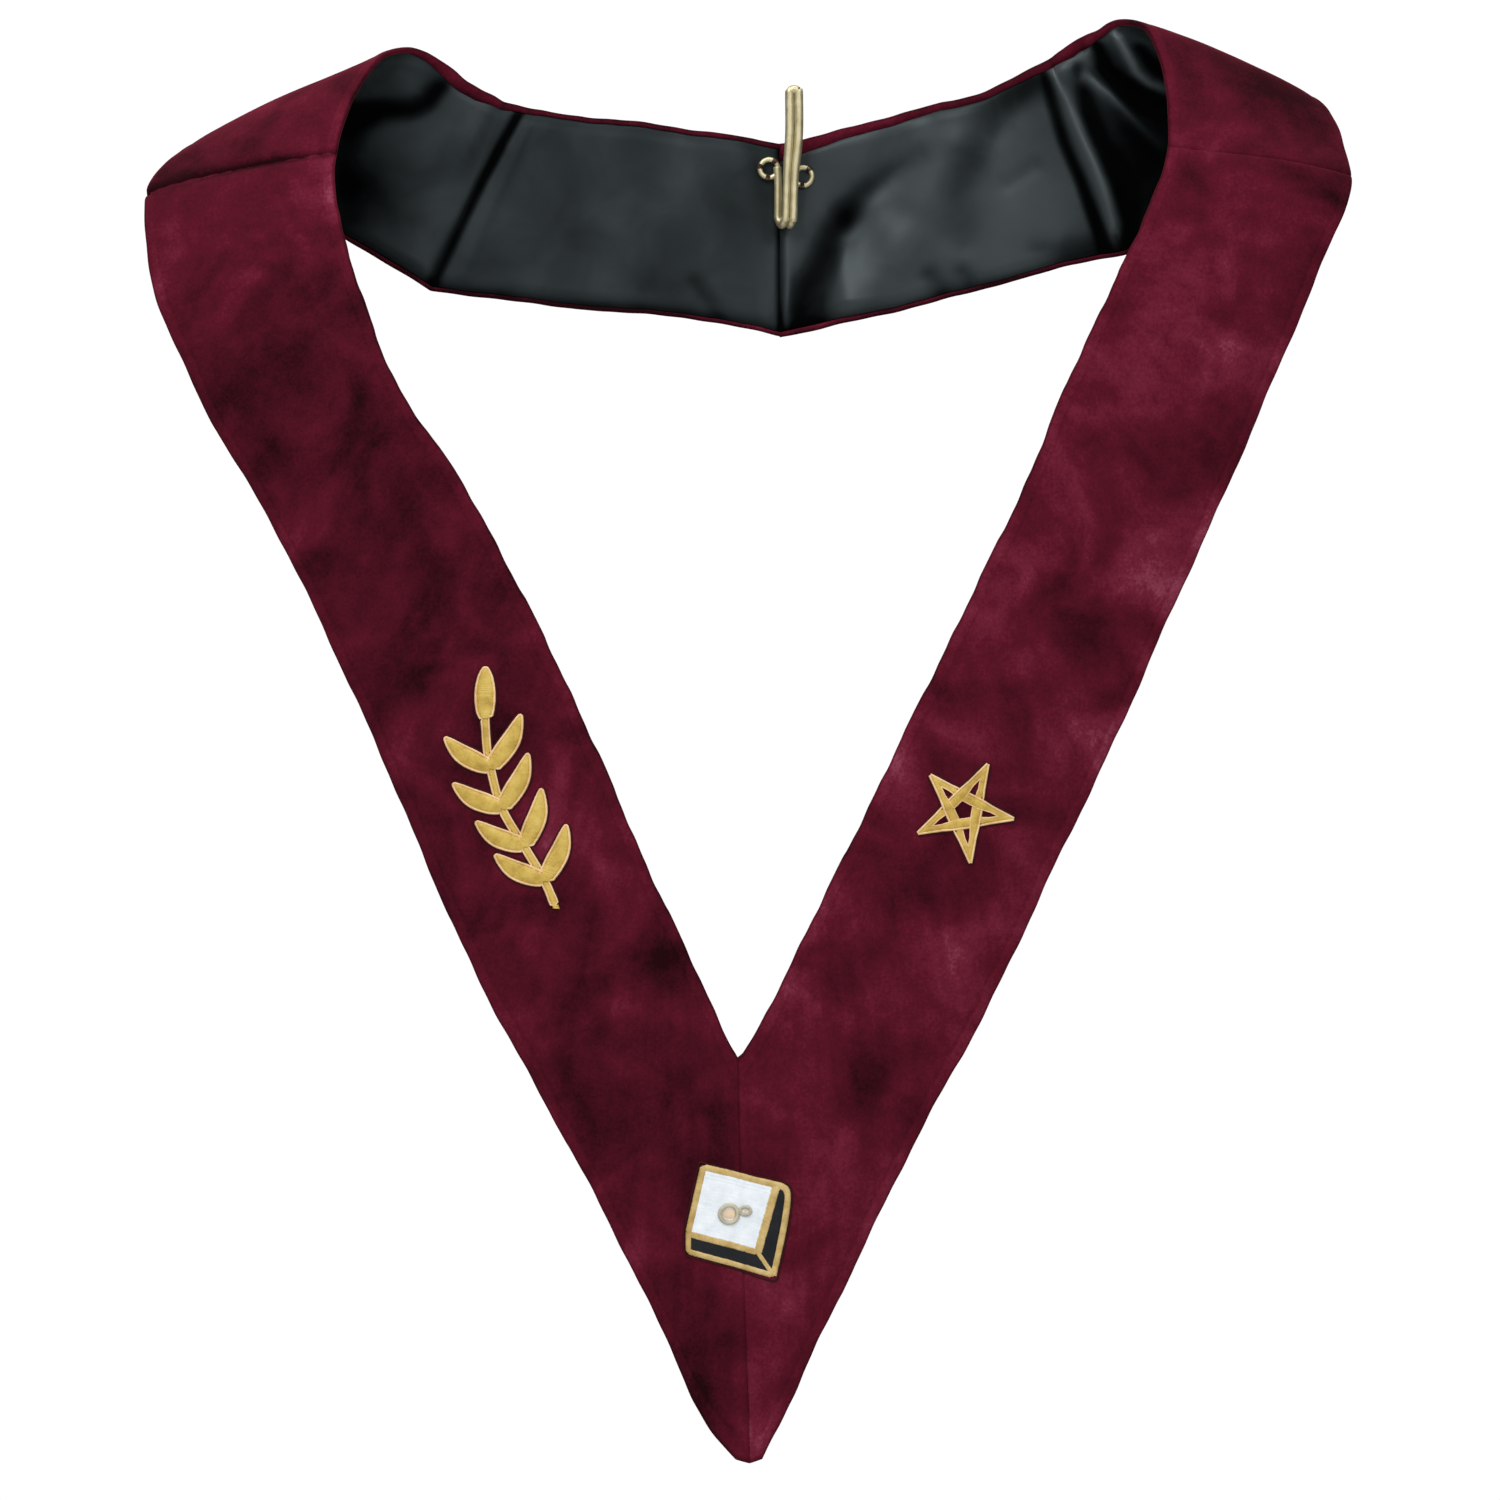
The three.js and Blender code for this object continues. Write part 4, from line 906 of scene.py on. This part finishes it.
def cord_tube(points, radius, sides=6, closed=False):
    """A round thread along 3-D points."""
    p = np.asarray(points, float)
    t = np.gradient(p, axis=0)
    if closed:
        t = np.roll(p, -1, 0) - np.roll(p, 1, 0)
    t = unit(t)
    ref = np.where(np.abs(t[:, 1:2]) < 0.9, [[0.0, 1.0, 0.0]], [[1.0, 0.0, 0.0]])
    a = unit(np.cross(t, ref))
    b = np.cross(t, a)
    ang = 2 * math.pi * np.arange(sides) / sides
    ring = p[:, None, :] + radius * (np.cos(ang)[None, :, None] * a[:, None, :] + np.sin(ang)[None, :, None] * b[:, None, :])
    m, n = ring.shape[:2]
    g = np.arange(m * n).reshape(m, n)
    faces = []
    last = m if closed else m - 1
    for i in range(last):
        j = (i + 1) % m
        faces.append(np.stack([g[i], np.roll(g[i], -1), np.roll(g[j], -1), g[j]], -1))
    points_out = ring.reshape(-1, 3)
    faces = np.concatenate(faces)
    if not closed:
        ends = np.array([p[0], p[-1]])
        base = len(points_out)
        points_out = np.vstack([points_out, ends])
        caps = []
        for i in range(0, sides, 2):
            j, k = (i + 1) % sides, (i + 2) % sides
            caps.append([base, g[0, k], g[0, j], g[0, i]])
            caps.append([base + 1, g[-1, i], g[-1, j], g[-1, k]])
        faces = np.vstack([faces, caps])
    return points_out, faces


def gather(parts):
    points, faces, start = [], [], 0
    for p, f in parts:
        points.append(p)
        faces.append(turned(p, f) + start)
        start += len(p)
    return np.vstack(points), np.vstack(faces)


STEM = [(-149.5, -247), (-148.5, -265), (-146.5, -276.7), (-140.9, -297), (-129.7, -316.3), (-119.6, -333.5), (-113.5, -347.7)]
# Leaf pairs of the sprig: where they join the stem, and the tips on either side
LEAF_PAIRS = [
    ((-146.5, -276.7), (-169.8, -261.0), (-131.3, -249.4)),
    ((-140.9, -297.0), (-165.7, -284.3), (-127.7, -269.1)),
    ((-129.7, -316.3), (-154.1, -303.6), (-121.1, -286.9)),
    ((-119.6, -333.5), (-144.4, -320.3), (-108.5, -305.1)),
]
BUD = [(-149.3, -251.5), (-149.3, -238), (-149.1, -225.5)]


def leaf_line(a, b, lean):
    a, b = np.array(a), np.array(b)
    d = (b - a) / np.linalg.norm(b - a)
    n = np.array([-d[1], d[0]])
    return [a, a + (b - a) * 0.3 + n * lean * 0.8, a + (b - a) * 0.6 + n * lean, b]


def leaf_width(full):
    """Half width along a leaf: broad where it leaves the stem, widest before the middle, pointed at the tip."""
    k, w = np.array([0, 0.15, 0.4, 0.6, 0.78, 0.9, 1]), np.array([0.64, 0.88, 1.0, 0.9, 0.62, 0.36, 0.06])
    return lambda t: full * np.interp(np.clip(t, 0, 1), *smooth_line(np.stack([k, w], -1), 60).T)


def bud_width(k):
    return np.interp(k, [0, 0.06, 0.14, 0.32, 0.5, 0.65, 0.8, 0.9, 0.97, 1], [2.6, 3.4, 4.1, 4.7, 4.75, 4.3, 3.4, 2.3, 1.1, 0.3])


def edging(ground, line, width, slant, radius=0.66, height=0.36, count=46, out=0.0):
    """A fine cord along both sides of a leaf: the pale edging, or, set out from it, a dark cord of painted shadow."""
    c = smooth_line(line, count)
    share = np.linspace(0, 1, count)
    tangent = unit(np.gradient(c, axis=0))
    side = np.stack([-tangent[:, 1], tangent[:, 0]], -1)
    w = np.maximum(width(share), 0.12)[:, None] + out
    one = c + side * w + tangent * slant * w
    two = c - side * w - tangent * slant * w
    loop = np.vstack([one, two[::-1][1:-1]])
    flat = smooth_line(np.vstack([loop, loop[:1]])[::2], 2 * count)[:-1]
    wob = height + 0.05 * np.sin(np.arange(len(flat)) * 1.9)
    return cord_tube(ground.lay(flat[:, 0], flat[:, 1], wob), radius, 6, closed=True)


sprig_ground = Ground(-176, -100, -354, -219)
leaves, edges, painted_shadow_cords = [], [], []
leaves.append(stitched(sprig_ground, STEM, lambda k: 1.5 + 0.1 * k, 0.85, across=7, slant=0.5))
leaves.append(stitched(sprig_ground, BUD, bud_width, 1.25, slant=0.0))
edges.append(edging(sprig_ground, BUD, bud_width, 0.0))
edges.append(edging(sprig_ground, STEM, lambda k: 1.7 + 0.1 * k, 0.0, 0.55, 0.3))
# dark cords just outside the bud, stem and leaves: painted shadow of the raised stitching
painted_shadow_cords.append(edging(sprig_ground, BUD, bud_width, 0.0, 0.55, 0.05, out=0.95))
painted_shadow_cords.append(edging(sprig_ground, STEM, lambda k: 1.9 + 0.1 * k, 0.0, 0.55, 0.05, out=0.7))
for join, one, two in LEAF_PAIRS:
    for tip, lean, slant in ((one, 1.8, 0.3), (two, -1.8, -0.3)):
        line = leaf_line(join, tip, lean)
        leaves.append(stitched(sprig_ground, line, leaf_width(4.6), 1.25, slant=slant))
        edges.append(edging(sprig_ground, line, leaf_width(4.6), slant))
        # painted shadow round each leaf
        painted_shadow_cords.append(edging(sprig_ground, line, leaf_width(4.6), slant, 0.55, 0.05, out=0.95))
build("sprig_threads", *gather(leaves), GOLD, "gold_thread", ["sprig_embroidery"])
build("sprig_edging", *gather(edges), PALE_GOLD, "gold_thread")
build("sprig_painted_shadow", *gather(painted_shadow_cords), SHADOW_THREAD, "velvet")

STAR_TIPS = [(104.3, -274.3), (75.0, -280.0), (68.6, -309.8), (95.4, -325.0), (117.6, -302.4)]
TIP_TAPER = math.tan(math.pi / 5)
star_ground = Ground(62, 124, -331, -268)
star_centre = np.mean(STAR_TIPS, axis=0)
bars, rims, painted_shadow_cords = [], [], []


def over_under(x):
    return 0.3 * (np.exp(-(((x - 0.36) / 0.06) ** 2)) - np.exp(-(((x - 0.64) / 0.06) ** 2)))


for k in range(5):
    # the outer edge of each bar runs from tip to tip; it passes over the next bar and under the one after it
    a, b = np.array(STAR_TIPS[k]), np.array(STAR_TIPS[(k + 2) % 5])
    long = np.linalg.norm(b - a)
    d = (b - a) / long
    n = np.array([-d[1], d[0]])
    n = n if (star_centre - a) @ n > 0 else -n
    t = np.linspace(0.4, long - 0.4, 60)
    full = np.interp(t / long, [0.26, 0.4, 0.6, 0.74], [0, 1, 1, 0])
    out, inn = 0.5 * full, np.minimum(2.9 + 1.35 * full, np.minimum(t, long - t) * TIP_TAPER)
    line = a + d * t[:, None] + n * ((inn - out) / 2)[:, None]
    wide = lambda x, w=(inn + out) / 2: np.interp(x, np.linspace(0, 1, len(w)), w)
    bars.append(stitched(star_ground, line, wide, 1.05, slant=0.1, lift=over_under, across=9))
    edge = a + d * t[:, None] - n * (out + 0.25)[:, None]
    rims.append(cord_tube(star_ground.lay(edge[:, 0], edge[:, 1], 0.42 + over_under(t / long)), 0.6, 6))
    # a dark cord just outside each bar: painted shadow of the raised stitching
    low = edge - n * 0.95
    painted_shadow_cords.append(cord_tube(star_ground.lay(low[:, 0], low[:, 1], 0.05 + 0 * t), 0.55, 6))
    inside = slice(9, 51)
    edge = a + d * t[inside, None] + n * (inn[inside] - 0.3)[:, None]
    rims.append(cord_tube(star_ground.lay(edge[:, 0], edge[:, 1], 0.62 + over_under(t[inside] / long)), 0.34, 6))
build("star_edging", *gather(rims), PALE_GOLD, "gold_thread")
build("star_painted_shadow", *gather(painted_shadow_cords), SHADOW_THREAD, "velvet")
build("star_threads", *gather(bars), GOLD, "gold_thread", ["star_embroidery"])

# The squared stone: corners of its upper face, and of the two sides that show
FACE = {"a": (-39, -478.5), "b": (-2.5, -487.5), "c": (-11.5, -521.5), "d": (-46.5, -512)}
FOOT = {"b": (2.8, -491.6), "c": (-4, -533), "d": (-46.5, -521)}
stone_ground = Ground(-56, 14, -544, -470)


def fill(ground, p, q, r, t, high, columns=25):
    """Long stitches side by side, parallel to p-q and t-r, over a four-cornered field."""
    p, q, r, t = (np.array(v, float) for v in (p, q, r, t))
    rows = max(8, int(max(np.linalg.norm(t - p), np.linalg.norm(r - q)) / THREAD) * STEPS + 1)
    a = np.linspace(0, 1, rows)[:, None, None]
    b = np.linspace(0, 1, columns)[None, :, None]
    flat = (p * (1 - b) + q * b) * (1 - a) + (t * (1 - b) + r * b) * a
    phase = (np.arange(rows) % STEPS) / STEPS
    ridge = np.sin(math.pi * (phase + 0.5 / STEPS))
    number = np.arange(rows) // STEPS
    loose = chance.normal(0, 1, number.max() + 1)[number]
    rim_a = np.minimum(a[..., 0], 1 - a[..., 0])
    rim_b = np.minimum(b[..., 0], 1 - b[..., 0])
    soft = np.clip(rim_a / 0.04, 0.3, 1) * np.clip(rim_b / 0.04, 0.3, 1)
    h = high * soft + (0.14 * ridge + 0.03 * loose)[:, None]
    # some stitches catch in the middle of the field, in a brick pattern
    catch = np.exp(-(((b[..., 0] * 9 + (number[:, None] % 3) / 3.0) % 1 - 0.5) / 0.12) ** 2)
    h = h - 0.07 * catch
    return join_grids(ground.lay(flat[..., 0], flat[..., 1], h), ground.lay(flat[..., 0], flat[..., 1], np.full(h.shape, -0.12)))


def bar_of(ground, a, b, w, high=1.2, slant=0.2, ends=0.0):
    a, b = np.array(a, float), np.array(b, float)
    d = (b - a) / np.linalg.norm(b - a)
    a, b = a - d * ends, b + d * ends
    return stitched(ground, [a, (a + b) / 2, b], lambda t: np.full(np.shape(t), w / 2) * np.clip(np.minimum(t, 1 - t) / 0.03, 0.55, 1), high, slant=slant)


corner = [(-5.5, -486.9), (0.2, -488.2), (2.9, -492.4), (1.5, -506), (-1.2, -520), (-4, -533)]
outline = [
    bar_of(stone_ground, FACE["a"], FACE["b"], 3.9, ends=0.5),
    bar_of(stone_ground, FACE["d"], FACE["a"], 3.7, ends=0.5),
    bar_of(stone_ground, FOOT["d"], FACE["d"], 3.2, ends=0.6),
    bar_of(stone_ground, FOOT["c"], FOOT["d"], 3.4, ends=0.6),
    stitched(stone_ground, corner, lambda t: np.full(np.shape(t), 1.8), 1.2, slant=0.2),
    bar_of(stone_ground, FACE["b"], FACE["c"], 5.4, high=1.0, ends=0.4),
    bar_of(stone_ground, FACE["d"], FACE["c"], 4.6, high=1.0, ends=0.4),
    bar_of(stone_ground, FACE["c"], FOOT["c"], 3.4, high=1.0, ends=0.2),
]
build("stone_outline_threads", *gather(outline), STONE_GOLD, "gold_thread", ["stone_outline"])
# a dark line close round the stone, laid as a cord: painted shadow of the raised stitching
round_it = smooth_line([(-40.7, -476), (-22, -480.9), (-3, -485.2), (3.2, -487.4), (5.5, -492.6), (3.9, -507), (1.3, -520), (-1.9, -535.2)], 160)
beneath = smooth_line([(-1.9, -535.2), (-6, -535.8), (-26, -529.2), (-47.6, -523.6)], 100)
beside = smooth_line([(-47.6, -523.6), (-49, -518), (-48.9, -511), (-45.2, -494), (-41.6, -477.6), (-40.7, -476)], 120)
loop = np.vstack([round_it[:-1], beneath[:-1], beside[:-1]])
build("stone_painted_shadow", *cord_tube(stone_ground.lay(loop[:, 0], loop[:, 1], np.full(len(loop), 0.05)), 0.55, 6, closed=True), SHADOW_THREAD, "velvet")
build("stone_face_threads", *fill(stone_ground, FACE["a"], FACE["b"], FACE["c"], FACE["d"], 0.75), WHITE, "white_thread", ["stone_face"])
build("stone_side_lower_threads", *fill(stone_ground, FACE["d"], FACE["c"], FOOT["c"], FOOT["d"], 0.7), BLACK, "black_thread", ["stone_side_lower"])
build("stone_side_right_threads", *fill(stone_ground, FACE["b"], FOOT["b"], FOOT["c"], FACE["c"], 0.7, 11), BLACK, "black_thread", ["stone_side_right"])

# The ring on the stone and the small link beside it: x, z, half width, half height, radius of each of three strands
rings = []
for x0, z0, across, tall, strand in ((-26.6, -502.1, 4.6, 4.4, 0.62), (-18.0, -500.5, 2.9, 2.0, 0.46)):
    t = np.linspace(0, 2 * math.pi, 150, endpoint=False)
    centre = stone_ground.lay(x0 + across * np.cos(t), z0 + tall * np.sin(t), np.full(150, 1.2))
    out = np.stack([np.cos(t), 0 * t, np.sin(t)], -1)
    for k in range(3):
        a = t * 10 + k * 2.094
        r = 0.84 * strand
        rings.append(cord_tube(centre + out * (r * np.cos(a))[:, None] + np.array([0, -1.0, 0]) * (r * np.sin(a))[:, None], strand, 6, closed=True))
build("stone_ring_threads", *gather(rings), TAN, "gold_thread", ["stone_ring"])
middle = stitched(stone_ground, [(-30.2, -502.1), (-26.6, -502.1), (-23.0, -502.1)], lambda t: 3.5 * np.sqrt(np.clip(1 - (2 * t - 1) ** 2, 0.02, 1)), 1.05, 0.2, slant=0.0)
link = stitched(stone_ground, [(-20.2, -500.5), (-18.0, -500.5), (-15.8, -500.5)], lambda t: 1.6 * np.sqrt(np.clip(1 - (2 * t - 1) ** 2, 0.02, 1)), 1.05, 0.2, slant=0.0)
build("stone_ring_middle", *gather([middle, link]), PEACH, "gold_thread")

# ---------------------------------------------------------------- neck hook

HOOK = dict(top=80, bottom=7.2, middle=7.3, low=5, rear=1, pitch_top=4.7, pitch_low=4.1, back=-2.9, front=-11.7, wire=2.05)
EYES = [(-5.8, 37.2, [(-1.4, 38), (-1, 30)]), (12.1, 33.0, [(6.9, 34.5), (5.4, 28), (3.5, 21.5)])]


def shank(k):
    rear, low, high = HOOK["rear"] + k * HOOK["pitch_low"] / 2, HOOK["low"] + k * HOOK["pitch_low"] / 2, HOOK["middle"] + k * HOOK["pitch_top"] / 2
    mid, r = (HOOK["back"] + HOOK["front"]) / 2, (HOOK["back"] - HOOK["front"]) / 2
    pts = [(x, HOOK["back"], z) for x, z in EYES[0 if k < 0 else 1][2]]
    pts.append((rear, HOOK["back"], HOOK["bottom"] + r + 4))
    for i in range(7):
        a = math.pi * i / 6
        pts.append((rear + (low - rear) * i / 6, mid + r * math.cos(a), HOOK["bottom"] + r - r * math.sin(a)))
    pts += [(low + 0.6, HOOK["front"], HOOK["bottom"] + 25), (high, HOOK["front"], HOOK["bottom"] + 47), (high, HOOK["front"], HOOK["top"] - HOOK["pitch_top"])]
    return pts


pin_top = [
    (HOOK["middle"] - HOOK["pitch_top"] / 2 * math.cos(math.pi * (i + 1) / 6), HOOK["front"], HOOK["top"] - HOOK["pitch_top"] + HOOK["pitch_top"] / 2 * math.sin(math.pi * (i + 1) / 6))
    for i in range(5)
]
wire_line = smooth_line(shank(-1) + pin_top + shank(1)[::-1], 420)
# the wire is a little flattened where its two runs lie side by side at the top
flatter = np.clip((wire_line[:, 2] - 26) / 22, 0, 1)
hook_parts = [cord_tube(wire_line, (HOOK["wire"] + 0.32 * flatter**2 * (3 - 2 * flatter))[:, None, None], 20)]
for x, z, _ in EYES:
    t = np.linspace(0, 2 * math.pi, 64, endpoint=False)
    loop = np.stack([x + 4.7 * np.cos(t), np.full(64, HOOK["back"] + 0.2), z + 4.7 * np.sin(t)], -1)
    hook_parts.append(cord_tube(loop, 1.35, 16, closed=True))
build("neck_hook_wire", *gather(hook_parts), GILT, "hook_metal", ["neck_hook"])
# the stitches that hold each eyelet to the lining
sewing = []
for x, z, _ in EYES:
    for k, a in enumerate((0.9, 2.9, 4.6)):
        for j in range(4):
            turn_by = a + 0.13 * (j - 1.5)
            out = np.array([math.cos(turn_by), 0, math.sin(turn_by)])
            centre = np.array([x, HOOK["back"] + 0.2, z]) + out * 4.7
            b = np.linspace(-0.55 * math.pi, 1.55 * math.pi, 14)
            arc = centre + out * (1.68 * np.cos(b))[:, None] + np.array([0, -1.0, 0]) * (1.68 * np.sin(b))[:, None]
            arc[:, 1] = np.minimum(arc[:, 1], -0.55)
            sewing.append(cord_tube(arc, 0.27, 6))
build("hook_stitches", *gather(sewing), BROWN, "black_thread")

# ---------------------------------------------------------------- floor, light and camera


def stage_floor():
    m = Shade("pale_floor")
    tone_ = m.noise(m.place(), 3, 3, 0.5)
    m.set(Base_Color=m.ramp(tone_, (0.3, (0.80, 0.80, 0.795)), (0.7, (0.84, 0.84, 0.835))))
    m.bsdf.inputs["Roughness"].default_value = 0.75
    mesh = bpy.data.meshes.new("floor")
    mesh.from_pydata([(-3, -3, -1.25), (3, -3, -1.25), (3, 3, -1.25), (-3, 3, -1.25)], [], [(0, 1, 2, 3)])
    mesh.materials.append(m.material)
    floor = bpy.data.objects.new("floor", mesh)
    bpy.context.scene.collection.objects.link(floor)


def soft_light(name, at, aim, size, power, colour=(1, 1, 1)):
    lamp = bpy.data.lights.new(name, "AREA")
    lamp.shape = "RECTANGLE"
    lamp.size, lamp.size_y = size
    lamp.energy = power
    lamp.color = colour
    obj = bpy.data.objects.new(name, lamp)
    obj.location = at
    obj.rotation_euler = (Vector(aim) - Vector(at)).to_track_quat("-Z", "Y").to_euler()
    bpy.context.scene.collection.objects.link(obj)


def world():
    """Soft light: bright in front of the collar and above it, dark to the sides and below."""
    w = bpy.data.worlds.new("studio")
    bpy.context.scene.world = w
    w.use_nodes = True
    tree = w.node_tree
    tree.nodes.clear()
    coords, split = tree.nodes.new("ShaderNodeTexCoord"), tree.nodes.new("ShaderNodeSeparateXYZ")
    tree.links.new(coords.outputs["Generated"], split.inputs[0])

    def share(axis, low, high):
        n = tree.nodes.new("ShaderNodeMapRange")
        n.interpolation_type = "SMOOTHSTEP"
        for socket, value in zip(n.inputs, (0, low, high, 0.0, 1.0)):
            socket.default_value = value
        tree.links.new(split.outputs[axis], n.inputs[0])
        return n.outputs[0]

    def mix(k, a, b):
        n = tree.nodes.new("ShaderNodeMix")
        n.data_type = "RGBA"
        tree.links.new(k, n.inputs[0])
        for socket, value in ((n.inputs[6], a), (n.inputs[7], b)):
            if isinstance(value, bpy.types.NodeSocket):
                tree.links.new(value, socket)
            else:
                socket.default_value = (value, value, value * 1.01, 1)
        return n.outputs[2]

    colour = mix(share("Z", -0.1, 0.75), 0.07, 0.55)
    colour = mix(share("Y", -0.72, -0.98), colour, 0.8)
    shine, out = tree.nodes.new("ShaderNodeBackground"), tree.nodes.new("ShaderNodeOutputWorld")
    tree.links.new(colour, shine.inputs["Color"])
    tree.links.new(shine.outputs[0], out.inputs["Surface"])


def backdrop():
    """A white surround that only the camera sees."""
    m = bpy.data.materials.new("white_surround")
    m.use_nodes = True
    tree = m.node_tree
    tree.nodes.clear()
    shine, out = tree.nodes.new("ShaderNodeEmission"), tree.nodes.new("ShaderNodeOutputMaterial")
    shine.inputs["Color"].default_value = (1, 1, 1, 1)
    shine.inputs["Strength"].default_value = 1.03
    tree.links.new(shine.outputs[0], out.inputs["Surface"])
    mesh = bpy.data.meshes.new("surround")
    t, p = np.meshgrid(np.linspace(0, 2 * math.pi, 49)[:-1], np.linspace(0.02, math.pi - 0.02, 25), indexing="ij")
    points = 12 * np.stack([np.sin(p) * np.cos(t), np.sin(p) * np.sin(t), np.cos(p)], -1).reshape(-1, 3)
    g = np.arange(48 * 25).reshape(48, 25)
    faces = np.stack([g[:, :-1], np.roll(g, -1, 0)[:, :-1], np.roll(g, -1, 0)[:, 1:], g[:, 1:]], -1).reshape(-1, 4)
    mesh.from_pydata(points.tolist(), [], faces.tolist())
    mesh.materials.append(m)
    surround = bpy.data.objects.new("surround", mesh)
    bpy.context.scene.collection.objects.link(surround)
    for kind in ("diffuse", "glossy", "transmission", "volume_scatter", "shadow"):
        setattr(surround, "visible_" + kind, False)


stage_floor()
backdrop()
world()
AIM = (-0.02, -0.08, -0.2)
soft_light("key", (-1.3, -2.2, 1.9), AIM, (1.4, 1.4), 58)
soft_light("fill", (1.5, -2.6, 1.4), AIM, (1.5, 1.5), 32)
soft_light("top", (0.1, -0.3, 2.0), AIM, (1.4, 0.8), 16)
camera = bpy.data.cameras.new("camera")
camera.sensor_fit, camera.sensor_width, camera.lens = "HORIZONTAL", 36.0, 142.01
eye = bpy.data.objects.new("camera", camera)
eye.location = (-0.01574, -3.105, -0.26762)
eye.rotation_euler = (math.pi / 2, 0, 0)
bpy.context.scene.collection.objects.link(eye)
bpy.context.scene.camera = eye
bpy.context.scene.view_settings.view_transform = "Standard"
